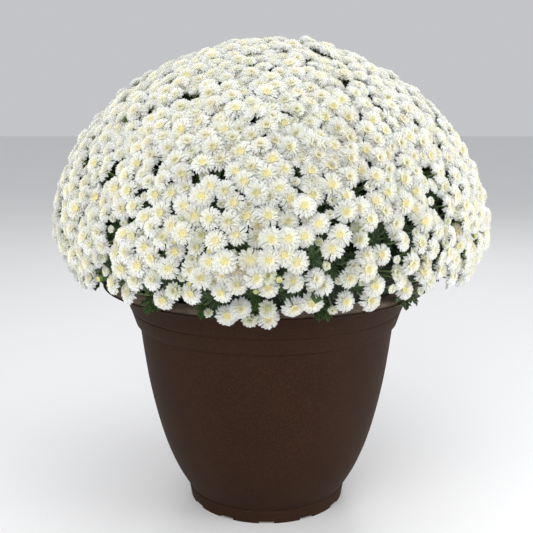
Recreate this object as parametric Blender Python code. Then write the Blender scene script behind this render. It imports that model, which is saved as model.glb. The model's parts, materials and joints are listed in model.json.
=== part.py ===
# A bushy white button chrysanthemum in its round plastic pot.
# Metres, +Z up. The origin is the middle of the pot's flat underside, and -Y is the front.
# Pieces: the pot, its potting mix, the woody stems, the green foliage and the white bloom sprays.

import math
import random

import bpy
import numpy as np
from mathutils import Vector
from mathutils.geometry import delaunay_2d_cdt

GAP = 0.0003                    # space between pieces that touch

# Pot, turned about Z. Each ring is (radius, height).
POT_SIDES = 32
POT_LIP_RADIUS = 0.2032
POT_HEIGHT = 0.286
POT_WALL = 0.003
POT_FLOOR = 0.006
POT_FLOOR_INSET = 0.012         # the floor's inner edge, in from the wall above it
POT_OUTSIDE = [
    (0.0985, 0.0000), (0.1010, 0.0160), (0.0998, 0.0172), (0.1014, 0.0186),
    (0.1160, 0.0450), (0.1288, 0.0760), (0.1392, 0.1120), (0.1485, 0.1550),
    (0.1593, 0.2325), (0.1635, 0.2345), (0.1692, 0.2522), (0.1684, 0.2535), (0.1708, 0.2555),
    (0.1770, 0.2770), (0.1850, 0.2815), (POT_LIP_RADIUS, 0.2847),
]
POT_LIP_TOP = [(0.2010, POT_HEIGHT), (0.1775, 0.2852)]
POT_INSIDE_HEIGHTS = [0.2560, 0.2300, 0.1400, 0.0700, 0.0200]
NOTCH_COUNT = 12                # shallow drain notches in the foot's lower edge
NOTCH_WIDTH = 0.019
NOTCH_HEIGHT = 0.0028
NOTCH_INNER_RADIUS = 0.072
NOTCH_OUTER_RADIUS = 0.112      # past the foot
DRAIN_RADIUS = 0.0060
DRAIN_RING_RADIUS = 0.0800
CUT_PAST = 0.004                # cutters reach this far past what they cut

# Potting mix
MIX_TOP = 0.262
MIX_MOUND = 0.006               # the middle stands this much over the edge
MIX_LEVELS = [0.0200, 0.0700, 0.1400, 0.2300]

# Woody stems: a crown that stands in the mix, and branches that fan out from it.
CROWN_SIDES = 12
CROWN_RADIUS = 0.018
CROWN_SHOULDER = 0.010          # the crown draws in over its last stretch
CROWN_TOP_SHARE = 0.7
CROWN_FOOT = 0.190
CROWN_TOP = 0.292
BRANCH_COUNT = 9
BRANCH_SIDES = 6
BRANCH_FIRST_TURN = math.radians(20)
BRANCH_STRAY = 0.05             # radians
BRANCH_ROOT_RING = 0.0110       # the branches leave the crown side by side on this radius
BRANCH_ROOT_DEPTH = 0.013       # under the crown's top
BRANCH_SHARES = (0.34, 0.58, 0.80)   # where they meet the canopy, from its open edge to its crown
BRANCH_ELBOW = 0.45             # share of the way along, where a branch bends
BRANCH_ELBOW_RISE = 0.016
BRANCH_RADIUS = 0.0046
BRANCH_TIP_RADIUS = 0.0040
BRANCH_SOCKET = 0.020           # length of each branch that stands in a plain hole in the foliage

# Dome of blooms: an ellipse below and above its widest level, a little to the right of the pot's middle.
DOME_SHIFT = 0.005
DOME_RADIUS = 0.262
DOME_WIDEST = 0.350
DOME_RISE = 0.225
DOME_DROP = 0.112
DOME_ROUNDNESS = 1.055          # 1 is a plain ellipse
DOME_EDGE = math.radians(120)   # angle from the top down to the lowest blooms
DOME_GHOST_EDGE = math.radians(131)

# Blooms, drawn larger than life so that they cover the dome with few faces.
BLOOM_SITES = 472               # golden-angle sites on the dome, a ring past its edge included
BLOOM_SCATTER = 0.13            # how far a bloom strays from its site, in bloom spacings
BLOOM_RISE = 0.0025             # blooms stand up to this much above or below one another
EYE_HEIGHT = 0.0010             # the middle of a bloom
TIP_DEPTH = 0.0012              # petal tips
TIP_REACH = 0.80                # petal length, as a share of the way to the hollow between three blooms
HOLLOW_DEPTH = 0.0105           # hollow between three blooms
HOLLOW_DRAW = 0.20              # how far a hollow on a seam draws back to its own spray
DIP_DEPTH = 0.0080              # dip between two blooms
SPRAY_COUNT = 15
SPRAY_FIRST = 0.35              # the first spray's place in its share of the dome
SPRAY_TURN = 0.8                # azimuth of the first spray, in radians
SPRAY_EDGE = 0.955              # share of the dome that holds the sprays' middles
SPRAY_EVENING = 4               # rounds that even out the sprays
SPRAY_DEPTH = 0.019             # the underside of a spray at its rim
SPRAY_TAPER = 0.16              # how far the underside draws in to the spray's middle
SPRAY_SEAM = 0.036              # half the seam between two sprays, as a share of the bloom spacing
SEAT_DEPTH = 0.024              # flat seat under the spray's middle, which its stalk meets
SEAT_RADIUS = 0.0095
GAP_MARGIN = 0.10               # how far the blooms beside a gap draw back from it
GAP_TO_SEAT = 1.9               # least distance from a gap to a seat, in bloom spacings

# Foliage: a leafy canopy that is open below, with stalks to the sprays and lobed leaves.
CANOPY_SIDES = 20
CANOPY_OUTSIDE = [
    (0.0000, 0.5420), (0.0850, 0.5300), (0.1500, 0.4950), (0.1980, 0.4430), (0.2240, 0.3850),
    (0.2270, 0.3400), (0.1960, 0.3010), (0.1800, 0.2935),
]
CANOPY_INSIDE = [
    (0.1600, 0.2790), (0.1380, 0.2740), (0.1250, 0.3000), (0.1080, 0.3560), (0.0600, 0.4080),
    (0.0000, 0.4250),
]
STALK_RADIUS = 0.0060
STALK_FLARE = 1.3               # wider at its root
STALK_LENGTH = 0.034
LEAF_THICKNESS = 0.0009
LEAF_ARCH = 0.18                # fall from rib to edge, as a share of the half width
SKIRT_LEAVES = 20
SKIRT_ROOT_RADIUS = 0.176
SKIRT_ROOT_HEIGHT = 0.3005
SKIRT_LEAF_LENGTH = 0.052
SKIRT_LEAF_WIDTH = 0.032
SKIRT_LEAF_DROOP = 0.015
SKIRT_LEAF_SIZES = (0.90, 1.08)
SKIRT_TILTS = (5, 9)            # degrees under the horizon
SKIRT_STRAY = 0.2               # share of the step from leaf to leaf
TUFT_LEAF_LENGTH = 0.036
TUFT_LEAF_WIDTH = 0.017
TUFT_LEAF_CURL = 0.009
TUFT_LEAF_STEP = 0.12           # the second leaf is this much shorter
TUFT_TURN = 0.6                 # radians
TUFT_ROOT_DEPTH = 0.006         # the tips end this far under the blooms
TUFT_ROOT_SPREAD = 0.003
# Half outlines of the lobed leaves: share of the length, and half width as a share of the width.
SKIRT_LEAF = [(0.0, 0.10), (0.34, 0.34), (0.46, 0.20), (0.66, 0.50), (0.75, 0.27), (0.88, 0.27), (1.0, 0.0)]
TUFT_LEAF = [(0.0, 0.14), (0.36, 0.42), (0.50, 0.24), (0.76, 0.50), (1.0, 0.0)]
# Gaps between the blooms, where leaves show: azimuth in degrees from the front, and height.
TUFT_PLACES = [
    (-18, 0.345), (10, 0.358), (29, 0.350), (-62, 0.352), (44, 0.405), (-38, 0.318),
    (84, 0.340), (118, 0.372), (154, 0.330), (-168, 0.366), (-122, 0.350), (-92, 0.330),
]

CHOCOLATE_PLASTIC = ("chocolate_plastic", (0.038, 0.016, 0.009), 0.62)
DARK_MIX = ("dark_mix", (0.018, 0.011, 0.007), 0.95)
WOODY_STEM = ("woody_stem", (0.105, 0.085, 0.032), 0.80)
LEAF_GREEN = ("leaf_green", (0.040, 0.095, 0.022), 0.55)
PETAL_WHITE = ("petal_white", (0.830, 0.845, 0.760), 0.60)


def clear_scene():
    for old in list(bpy.data.objects):
        bpy.data.objects.remove(old, do_unlink=True)


def make_material(name, colour, roughness):
    material = bpy.data.materials.new(name)
    material.use_nodes = True
    shader = material.node_tree.nodes["Principled BSDF"]
    shader.inputs["Base Color"].default_value = (*colour, 1.0)
    shader.inputs["Roughness"].default_value = roughness
    shader.inputs["Metallic"].default_value = 0.0
    return material


def make_object(name, points, faces, collection=None):
    mesh = bpy.data.meshes.new(name)
    mesh.from_pydata([tuple(p) for p in points], [], faces)
    mesh.validate()
    piece = bpy.data.objects.new(name, mesh)
    (collection or bpy.context.scene.collection).objects.link(piece)
    return piece


def finish(piece, look, crease=math.radians(32)):
    piece.data.materials.clear()
    piece.data.materials.append(make_material(*look))
    piece.data.shade_smooth()
    piece.data.set_sharp_from_angle(angle=crease)
    return piece


def turned(profile, sides, centre=(0.0, 0.0)):
    """Closed solid of revolution. The profile runs from the axis, up its outer side, back to the axis."""
    points = []
    rings = []
    for radius, height in profile:
        if radius == 0.0:
            rings.append([len(points)])
            points.append((centre[0], centre[1], height))
            continue
        rings.append(list(range(len(points), len(points) + sides)))
        for k in range(sides):
            angle = 2 * math.pi * k / sides
            across, back = radius * math.cos(angle), radius * math.sin(angle)
            points.append((centre[0] + across, centre[1] + back, height))
    faces = []
    for low, high in zip(rings, rings[1:]):
        for k in range(sides):
            n = (k + 1) % sides
            if len(low) == 1:
                faces.append((low[0], high[n], high[k]))
            elif len(high) == 1:
                faces.append((low[k], low[n], high[0]))
            else:
                faces.append((low[k], low[n], high[n], high[k]))
    return points, faces


def tube(path, radii, sides):
    """Closed round bar along a path, with flat ends."""
    points = []
    for k, (place, radius) in enumerate(zip(path, radii)):
        along = (path[min(k + 1, len(path) - 1)] - path[max(k - 1, 0)]).normalized()
        side = along.cross(Vector((0.0, 1.0, 0.0) if abs(along.y) < 0.9 else (1.0, 0.0, 0.0))).normalized()
        up = along.cross(side)
        for s in range(sides):
            angle = 2 * math.pi * s / sides
            points.append(place + radius * (math.cos(angle) * side + math.sin(angle) * up))
    faces = [tuple(reversed(range(sides))), tuple(range(len(points) - sides, len(points)))]
    for k in range(len(path) - 1):
        for s in range(sides):
            n = (s + 1) % sides
            faces.append((k * sides + s, k * sides + n, (k + 1) * sides + n, (k + 1) * sides + s))
    return points, faces


def combine(piece, tools, operation):
    """Joins to a piece, or cuts from it, everything in a collection, which is then removed."""
    boolean = piece.modifiers.new("combine", "BOOLEAN")
    boolean.operation = operation
    boolean.operand_type = "COLLECTION"
    boolean.collection = tools
    boolean.solver = "EXACT"
    boolean.use_self = operation == "UNION"
    graph = bpy.context.evaluated_depsgraph_get()
    mesh = bpy.data.meshes.new_from_object(piece.evaluated_get(graph))
    piece.modifiers.clear()
    piece.data = mesh
    for tool in list(tools.objects):
        bpy.data.objects.remove(tool, do_unlink=True)
    bpy.data.collections.remove(tools)
    return piece


def new_collection(name):
    collection = bpy.data.collections.new(name)
    bpy.context.scene.collection.children.link(collection)
    return collection


def pot_outer_radius(height):
    heights = [z for _, z in POT_OUTSIDE]
    return float(np.interp(height, heights, [r for r, _ in POT_OUTSIDE]))


def pot_inside(heights):
    """Rings of the pot's inner wall at these heights."""
    return [(pot_outer_radius(z) - POT_WALL, z) for z in heights]


def make_box(name, corners, low, high, collection):
    """Upright box over four corners that run anticlockwise, between two heights."""
    points = [Vector((c.x, c.y, z)) for z in (low, high) for c in corners]
    faces = [(3, 2, 1, 0), (4, 5, 6, 7), (0, 1, 5, 4), (1, 2, 6, 5), (2, 3, 7, 6), (3, 0, 4, 7)]
    return make_object(name, points, faces, collection)


def make_pot():
    inside = pot_inside(POT_INSIDE_HEIGHTS)
    floor_edge = (inside[-1][0] - POT_FLOOR_INSET, POT_FLOOR)
    profile = [(0.0, 0.0)] + POT_OUTSIDE + POT_LIP_TOP + inside + [floor_edge, (0.0, POT_FLOOR)]
    pot = make_object("pot", *turned(profile, POT_SIDES))
    cutters = new_collection("drain_cutters")
    for k in range(NOTCH_COUNT):
        angle = 2 * math.pi * k / NOTCH_COUNT
        out = Vector((math.cos(angle), math.sin(angle), 0.0))
        side = Vector((-out.y, out.x, 0.0)) * NOTCH_WIDTH / 2
        near, far = out * NOTCH_INNER_RADIUS, out * NOTCH_OUTER_RADIUS
        corners = [near - side, far - side, far + side, near + side]
        make_box(f"notch_{k}", corners, -CUT_PAST, NOTCH_HEIGHT, cutters)
        if k % 2 == 0:
            middle = out * DRAIN_RING_RADIUS
            path = [middle - Vector((0.0, 0.0, CUT_PAST)), middle + Vector((0.0, 0.0, POT_FLOOR + CUT_PAST))]
            make_object(f"drain_{k}", *tube(path, [DRAIN_RADIUS] * 2, 6), cutters)
    return finish(combine(pot, cutters, "DIFFERENCE"), CHOCOLATE_PLASTIC)


def make_potting_mix():
    wall = [(r - GAP * 1.2, z) for r, z in pot_inside(MIX_LEVELS)]
    edge = (pot_outer_radius(MIX_TOP) - POT_WALL - GAP * 4, MIX_TOP)
    floor = POT_FLOOR + GAP
    foot = [(0.0, floor), (wall[0][0] - POT_FLOOR_INSET - GAP, floor)]
    profile = foot + wall + [edge, (0.0, MIX_TOP + MIX_MOUND)]
    mix = make_object("potting_mix", *turned(profile, POT_SIDES))
    cutters = new_collection("crown_cutters")
    ends = [Vector((0.0, 0.0, CROWN_FOOT - GAP)), Vector((0.0, 0.0, MIX_TOP + MIX_MOUND + CUT_PAST))]
    make_object("crown_hole", *tube(ends, [CROWN_RADIUS + GAP * 1.2] * 2, CROWN_SIDES), cutters)
    return finish(combine(mix, cutters, "DIFFERENCE"), DARK_MIX)


def canopy_inner_point(azimuth, share):
    """Point on the canopy's inner face, from its open edge (share 0) to its crown (share 1)."""
    rings = CANOPY_INSIDE[1:]
    place = share * (len(rings) - 1)
    index = min(int(place), len(rings) - 2)
    low, high = rings[index], rings[index + 1]
    part = place - index
    radius = low[0] + (high[0] - low[0]) * part
    height = low[1] + (high[1] - low[1]) * part
    return Vector((DOME_SHIFT + radius * math.cos(azimuth), radius * math.sin(azimuth), height))


def branch_paths():
    """Middle lines of the branches, from the crown to where each stands in the foliage."""
    draw = random.Random(11)
    paths = []
    for k in range(BRANCH_COUNT):
        azimuth = BRANCH_FIRST_TURN + 2 * math.pi * k / BRANCH_COUNT
        azimuth += draw.uniform(-BRANCH_STRAY, BRANCH_STRAY)
        end = canopy_inner_point(azimuth, BRANCH_SHARES[k % len(BRANCH_SHARES)])
        out = Vector((math.cos(azimuth), math.sin(azimuth), 0.0))
        start = out * BRANCH_ROOT_RING + Vector((0.0, 0.0, CROWN_TOP - BRANCH_ROOT_DEPTH))
        elbow = start.lerp(end, BRANCH_ELBOW) + Vector((0.0, 0.0, BRANCH_ELBOW_RISE))
        along = (end - elbow).normalized()
        paths.append([start, elbow, end + along * BRANCH_SOCKET])
    return paths


def branch_radii(extra=0.0):
    steps = (0.0, 0.5, 1.0)
    return [BRANCH_RADIUS + (BRANCH_TIP_RADIUS - BRANCH_RADIUS) * s + extra for s in steps]


def make_woody_stems():
    profile = [
        (0.0, CROWN_FOOT), (CROWN_RADIUS, CROWN_FOOT), (CROWN_RADIUS, CROWN_TOP - CROWN_SHOULDER),
        (CROWN_RADIUS * CROWN_TOP_SHARE, CROWN_TOP), (0.0, CROWN_TOP),
    ]
    stems = make_object("woody_stems", *turned(profile, CROWN_SIDES))
    branches = new_collection("branches")
    for k, path in enumerate(branch_paths()):
        make_object(f"branch_{k}", *tube(path, branch_radii(), BRANCH_SIDES), branches)
    return finish(combine(stems, branches, "UNION"), WOODY_STEM)


class Dome:
    """The dome that the blooms cover, with a flat angle-true map of it for working out neighbours."""

    def __init__(self):
        self.angle = np.linspace(0.002, DOME_GHOST_EDGE + 0.25, 1600)
        radius, height = self.outline(self.angle)
        step = np.hypot(np.diff(radius), np.diff(height))
        middle = (radius[1:] + radius[:-1]) / 2
        self.area = np.concatenate([[0.0], np.cumsum(2 * math.pi * middle * step)])
        self.reach = np.exp(np.concatenate([[0.0], np.cumsum(step / middle)]))
        self.scale = self.reach / radius

    @staticmethod
    def outline(angle):
        below = np.where(angle > math.pi / 2, DOME_DROP, DOME_RISE)
        radius = DOME_RADIUS * np.abs(np.sin(angle)) ** DOME_ROUNDNESS
        rise = below * np.abs(np.cos(angle)) ** DOME_ROUNDNESS
        return radius, DOME_WIDEST + np.sign(np.cos(angle)) * rise

    @staticmethod
    def facing(angle, azimuth):
        """Direction that a bloom looks in: out from the dome, and only a little down at its lower edge."""
        degrees = math.degrees(angle)
        lift = 90 - degrees if degrees < 75 else 15 - (degrees - 75) * 0.62
        lift = math.radians(lift)
        flat = math.cos(lift)
        return Vector((flat * math.cos(azimuth), flat * math.sin(azimuth), math.sin(lift)))

    def point(self, angle, azimuth, depth=0.0):
        radius, height = (float(v) for v in self.outline(np.array(angle)))
        place = Vector((DOME_SHIFT + radius * math.cos(azimuth), radius * math.sin(azimuth), height))
        return place - depth * self.facing(angle, azimuth)

    def angle_at_share(self, share):
        """Angle from the top above which this share of the dome lies."""
        whole = float(np.interp(DOME_GHOST_EDGE, self.angle, self.area))
        return float(np.interp(share * whole, self.area, self.angle))

    def spacing(self):
        """Distance between blooms that pack evenly."""
        whole = float(np.interp(DOME_GHOST_EDGE, self.angle, self.area))
        return math.sqrt(whole / BLOOM_SITES * 2 / math.sqrt(3))

    def to_map(self, angle, azimuth):
        reach = float(np.interp(angle, self.angle, self.reach))
        return Vector((reach * math.cos(azimuth), reach * math.sin(azimuth)))

    def from_map(self, place):
        angle = float(np.interp(place.length, self.reach, self.angle))
        return angle, math.atan2(place.y, place.x)

    def map_scale(self, angle):
        return float(np.interp(angle, self.angle, self.scale))


def bloom_sites(dome):
    """Golden-angle sites over the dome, each moved a little off its place."""
    draw = random.Random(5)
    golden = math.pi * (3 - math.sqrt(5))
    spacing = dome.spacing()
    sites = []
    for k in range(BLOOM_SITES):
        angle = dome.angle_at_share((k + 0.5) / BLOOM_SITES)
        radius = max(float(dome.outline(np.array(angle))[0]), spacing * 0.6)
        angle += draw.uniform(-1, 1) * BLOOM_SCATTER * spacing / DOME_RADIUS
        azimuth = k * golden + draw.uniform(-1, 1) * BLOOM_SCATTER * spacing / radius
        sites.append((max(angle, 0.01), azimuth % (2 * math.pi)))
    return sites


def spray_centres(dome):
    """Middles of the sprays, spread evenly over the dome."""
    golden = math.pi * (3 - math.sqrt(5))
    return [
        (dome.angle_at_share(SPRAY_EDGE * (k + SPRAY_FIRST) / SPRAY_COUNT), SPRAY_TURN + k * golden)
        for k in range(SPRAY_COUNT)
    ]


class BloomField:
    """All the blooms: where each is, which spray it is in, and the triangles between neighbours."""

    def __init__(self, dome):
        self.dome = dome
        self.sites = bloom_sites(dome)
        self.centres = spray_centres(dome)
        places = [dome.point(*site) for site in self.sites]
        draw = random.Random(23)
        self.place = places
        self.rise = [draw.uniform(-1, 1) * BLOOM_RISE for _ in places]
        self.facing = [dome.facing(*site) for site in self.sites]
        flat = [dome.to_map(*site) for site in self.sites]
        self.spray = []
        for _ in range(SPRAY_EVENING):
            self.spray = self.nearest_sprays()
            self.centres = [self.middle_of(n) for n in range(SPRAY_COUNT)]
        self.triangles = []
        for face in delaunay_2d_cdt(flat, [], [], 0, 1e-9)[2]:
            a, b, c = (flat[v] for v in face)
            turn = (b - a).cross(c - a)
            self.triangles.append(tuple(face) if turn > 0 else tuple(reversed(face)))
        self.tufts = self.open_gaps()

    def nearest_sprays(self):
        """The spray of each bloom, the one whose middle is nearest; sites past the edge have none."""
        middles = [self.dome.point(*centre) for centre in self.centres]
        spray = []
        for (angle, _), place in zip(self.sites, self.place):
            nearest = min(range(SPRAY_COUNT), key=lambda n: (middles[n] - place).length)
            spray.append(nearest if angle < DOME_EDGE else None)
        return spray

    def middle_of(self, number):
        """Angle and azimuth of the middle of a spray's blooms."""
        places = [p for p, spray in zip(self.place, self.spray) if spray == number]
        middle = sum(places, Vector()) / len(places)
        azimuth = math.atan2(middle.y, middle.x - DOME_SHIFT)
        level = [a for (a, _), spray in zip(self.sites, self.spray) if spray == number]
        across = math.hypot(middle.x - DOME_SHIFT, middle.y)
        # round the top the mean angle is too wide, so the middle's distance from the axis limits it
        return min(sum(level) / len(level), across / DOME_RADIUS * 2 + 0.02), azimuth

    def open_gaps(self):
        """Takes out a bloom at each gap, the nearest one where two sprays meet, clear of seats."""
        seats = [self.dome.point(*centre) for centre in self.centres]
        clear = self.dome.spacing() * GAP_TO_SEAT
        borders = set()
        for triangle in self.triangles:
            if len({self.spray[v] for v in triangle}) > 1:
                borders.update(v for v in triangle if self.spray[v] is not None)
        taken = []
        for degrees, height in TUFT_PLACES:
            azimuth = math.radians(degrees - 90)
            wanted = Vector((DOME_RADIUS * math.cos(azimuth), DOME_RADIUS * math.sin(azimuth), height))
            free = [v for v in borders if self.spray[v] is not None]
            free = [v for v in free if min((self.place[v] - seat).length for seat in seats) > clear]
            chosen = min(free, key=lambda v: (self.place[v] - wanted).length)
            self.spray[chosen] = None
            taken.append(chosen)
        return taken


class SprayMesh:
    """One spray: six-petalled blooms raised from a pad, whose underside draws in to a flat seat."""

    def __init__(self, field, number):
        self.field = field
        self.number = number
        self.points = []
        self.faces = []
        self.index = {}
        self.flat = {}
        self.by_gap = set()
        self.add_blooms()
        self.add_underside()

    def member(self, site):
        return self.field.spray[site] == self.number

    def vertex(self, key, place, flat=None):
        if key not in self.index:
            self.index[key] = len(self.points)
            self.points.append(place)
            self.flat[self.index[key]] = flat
        return self.index[key]

    def eye(self, site):
        field = self.field
        return self.vertex(
            ("eye", site),
            field.place[site] + field.facing[site] * (EYE_HEIGHT + field.rise[site]),
        )

    def dip(self, site, other):
        """Dip between a bloom and its neighbour, kept on the bloom's own side where a seam runs."""
        field = self.field
        inside = self.member(other)
        key = ("dip", min(site, other), max(site, other)) if inside else ("rim", site, other)
        share = 0.5 if inside else 0.5 - (GAP_MARGIN if other in field.tufts else SPRAY_SEAM)
        place = field.place[site].lerp(field.place[other], share)
        facing = field.facing[site].lerp(field.facing[other], share).normalized()
        dome = field.dome
        flat = dome.to_map(*field.sites[site]).lerp(dome.to_map(*field.sites[other]), share)
        number = self.vertex(key, place - facing * DIP_DEPTH, flat)
        if other in field.tufts:
            self.by_gap.add(number)
        return number

    def triangle_middle(self, triangle):
        field = self.field
        place = sum((field.place[v] for v in triangle), Vector()) / 3
        facing = sum((field.facing[v] for v in triangle), Vector()).normalized()
        return place, facing

    def tip(self, site, triangle):
        field = self.field
        middle, _ = self.triangle_middle(triangle)
        place = field.place[site].lerp(middle, TIP_REACH)
        depth = TIP_DEPTH - field.rise[site]
        return self.vertex(("tip", site, triangle), place - field.facing[site] * depth)

    def hollow(self, triangle):
        """Hollow between blooms, drawn to this spray's side where the third bloom is another's."""
        members = [v for v in triangle if self.member(v)]
        middle, facing = self.triangle_middle(triangle)
        if len(members) == 2:
            between = (self.field.place[members[0]] + self.field.place[members[1]]) / 2
            middle = middle.lerp(between, HOLLOW_DRAW)
        return self.vertex(("hollow", triangle), middle - facing * HOLLOW_DEPTH)

    def add_blooms(self):
        for triangle in self.field.triangles:
            members = [v for v in triangle if self.member(v)]
            for k, site in enumerate(triangle):
                if site not in members:
                    continue
                after, before = triangle[(k + 1) % 3], triangle[(k + 2) % 3]
                eye, tip = self.eye(site), self.tip(site, triangle)
                first, last = self.dip(site, after), self.dip(site, before)
                self.faces += [(eye, first, tip), (eye, tip, last)]
                if len(members) > 1:
                    hollow = self.hollow(triangle)
                    self.faces += [(first, hollow, tip), (tip, hollow, last)]

    def rim_loop(self):
        """The spray's rim as one loop of vertices, in the direction that its top faces have."""
        edges = set()
        for a, b, c in self.faces:
            edges.update([(a, b), (b, c), (c, a)])
        following = {a: b for a, b in edges if (b, a) not in edges}
        loop = [min(following)]
        while following[loop[-1]] != loop[0]:
            loop.append(following[loop[-1]])
        if len(loop) != len(following):
            raise ValueError(f"spray {self.number} has more than one rim")
        return loop

    def underside_places(self, loop):
        """Every second dip on the rim, and each one beside a gap, so that the gap stays open below."""
        dips = [k for k, v in enumerate(loop) if self.flat[v] is not None]
        picks = []
        for n, k in enumerate(dips):
            if loop[k] in self.by_gap or n == 0 or dips[n - 1] not in picks:
                picks.append(k)
        return picks

    def add_underside(self):
        dome = self.field.dome
        angle, azimuth = self.field.centres[self.number]
        middle = dome.to_map(angle, azimuth)
        loop = self.rim_loop()
        picks = self.underside_places(loop)
        low = []
        low_flat = []
        for k in picks:
            flat = self.flat[loop[k]].lerp(middle, SPRAY_TAPER)
            low.append(len(self.points))
            low_flat.append(flat)
            self.points.append(dome.point(*dome.from_map(flat), SPRAY_DEPTH))
        for k, start in enumerate(picks):
            end = picks[(k + 1) % len(picks)]
            steps = (end - start) % len(loop)
            run = [loop[(start + s) % len(loop)] for s in range(steps + 1)]
            here, there = low[k], low[(k + 1) % len(low)]
            turn = steps // 2
            for s in range(steps):
                self.faces.append((run[s + 1], run[s], here if s < turn else there))
            self.faces.append((run[turn], here, there))
        self.add_seat(low, low_flat, angle, azimuth, middle)

    def add_seat(self, low, low_flat, angle, azimuth, middle):
        dome = self.field.dome
        scale = dome.map_scale(angle)
        facing, down, across = facing_frame(dome, angle, azimuth)
        seat_flat = []
        seat = []
        out = Vector((math.cos(azimuth), math.sin(azimuth)))
        for k in range(6):
            turn = 2 * math.pi * k / 6
            step = (math.cos(turn) * SEAT_RADIUS, math.sin(turn) * SEAT_RADIUS)
            seat_flat.append(middle + scale * (out * step[0] + Vector((-out.y, out.x)) * step[1]))
            seat.append(len(self.points))
            self.points.append(dome.point(angle, azimuth, SEAT_DEPTH) + down * step[0] + across * step[1])
        count = len(low)
        ring = [(count + k, count + (k + 1) % 6) for k in range(6)]
        flat = low_flat + seat_flat
        result = delaunay_2d_cdt(flat, ring, [list(range(count))], 1, 1e-9)
        numbers = low + seat
        for face in result[2]:
            corners = [result[3][v][0] for v in face]
            a, b, c = (flat[v] for v in corners)
            if (b - a).cross(c - a) > 0:
                corners.reverse()
            self.faces.append(tuple(numbers[v] for v in corners))


def facing_frame(dome, angle, azimuth):
    """The facing direction, the one down the dome and the one across it."""
    facing = dome.facing(angle, azimuth)
    across = Vector((-math.sin(azimuth), math.cos(azimuth), 0.0))
    return facing, across.cross(facing), across


def leaf_blade(outline, root, along, normal, length, width, droop):
    """Lobed leaf blade, arched along its rib and across it. Its two faces are split alike."""
    side = normal.cross(along).normalized()
    rib_share = 0.60

    def on_blade(share, across):
        sag = droop * share * share + LEAF_ARCH * width * abs(across)
        return root + along * (length * share) + side * (width * across) - normal * sag

    rim = outline + [(share, -across) for share, across in reversed(outline[:-1])]
    upper = [on_blade(*place) for place in rim] + [on_blade(rib_share, 0.0)]
    points = upper + [p - normal * LEAF_THICKNESS for p in upper]
    hub, layer = len(rim), len(upper)
    faces = []
    for a in range(hub):
        b = (a + 1) % hub
        faces += [(b, a, hub), (a + layer, b + layer, hub + layer)]
        faces += [(a, b, b + layer), (a, b + layer, a + layer)]
    return points, faces


def canopy_profile():
    return list(reversed(CANOPY_INSIDE)) + list(reversed(CANOPY_OUTSIDE))


def make_foliage(field):
    foliage = make_object("foliage", *turned(canopy_profile(), CANOPY_SIDES, (DOME_SHIFT, 0.0)))
    growth = new_collection("growth")
    add_stalks(field, growth)
    add_skirt_leaves(growth)
    add_tufts(field, growth)
    combine(foliage, growth, "UNION")
    sockets = new_collection("sockets")
    for k, path in enumerate(branch_paths()):
        along = (path[-1] - path[-2]).normalized()
        longer = path[:-1] + [path[-1] + along * GAP * 2]
        make_object(f"socket_{k}", *tube(longer, branch_radii(GAP * 1.5), BRANCH_SIDES), sockets)
    return finish(combine(foliage, sockets, "DIFFERENCE"), LEAF_GREEN)


def add_stalks(field, growth):
    """A short stalk under each spray, from inside the canopy to just below the spray's flat seat."""
    for k, centre in enumerate(field.centres):
        facing = field.dome.facing(*centre)
        top = field.dome.point(*centre, SEAT_DEPTH + GAP)
        path = [top - facing * STALK_LENGTH, top]
        radii = [STALK_RADIUS * STALK_FLARE, STALK_RADIUS]
        make_object(f"stalk_{k}", *tube(path, radii, 6), growth)


def add_skirt_leaves(growth):
    """Leaves that come out under the lowest blooms and hang over the pot's lip."""
    draw = random.Random(41)
    for k in range(SKIRT_LEAVES):
        azimuth = 2 * math.pi * (k + draw.uniform(-SKIRT_STRAY, SKIRT_STRAY)) / SKIRT_LEAVES
        out = Vector((math.cos(azimuth), math.sin(azimuth), 0.0))
        tilt = math.radians(draw.uniform(*SKIRT_TILTS))
        along = out * math.cos(tilt) - Vector((0.0, 0.0, math.sin(tilt)))
        normal = out * math.sin(tilt) + Vector((0.0, 0.0, math.cos(tilt)))
        size = draw.uniform(*SKIRT_LEAF_SIZES)
        root = out * SKIRT_ROOT_RADIUS + Vector((0.0, 0.0, SKIRT_ROOT_HEIGHT))
        length, width = SKIRT_LEAF_LENGTH * size, SKIRT_LEAF_WIDTH * size
        blade = leaf_blade(SKIRT_LEAF, root, along, normal, length, width, SKIRT_LEAF_DROOP)
        make_object(f"skirt_leaf_{k}", *blade, growth)


def add_tufts(field, growth):
    """Two leaves in each gap between the blooms. They stand back to back and curl apart."""
    draw = random.Random(71)
    for k, site in enumerate(field.tufts):
        angle, azimuth = field.sites[site]
        facing, down, across = facing_frame(field.dome, angle, azimuth)
        turn = draw.uniform(-TUFT_TURN, TUFT_TURN)
        for n in range(2):
            spin = turn + n * math.pi
            curl = down * math.cos(spin) + across * math.sin(spin)
            length = TUFT_LEAF_LENGTH * (1.0 - TUFT_LEAF_STEP * n)
            depth = TUFT_LEAF_LENGTH + TUFT_ROOT_DEPTH
            root = field.dome.point(angle, azimuth, depth) + curl * TUFT_ROOT_SPREAD
            blade = leaf_blade(TUFT_LEAF, root, facing, -curl, length, TUFT_LEAF_WIDTH, TUFT_LEAF_CURL)
            make_object(f"tuft_{k}_{n}", *blade, growth)


def make_bloom_sprays(field):
    for number in range(SPRAY_COUNT):
        mesh = SprayMesh(field, number)
        name = f"bloom_spray_{number + 1:02d}"
        finish(make_object(name, mesh.points, mesh.faces), PETAL_WHITE, math.radians(20))


def main():
    clear_scene()
    make_pot()
    make_potting_mix()
    make_woody_stems()
    field = BloomField(Dome())
    make_foliage(field)
    make_bloom_sprays(field)


main()
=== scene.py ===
# Looks of the pot chrysanthemum: white button blooms on green foliage in a brown moulded pot.
# Metres, +Z up, in the frame of the solids. The front looks towards -Y.

import json
import math
import random

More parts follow.
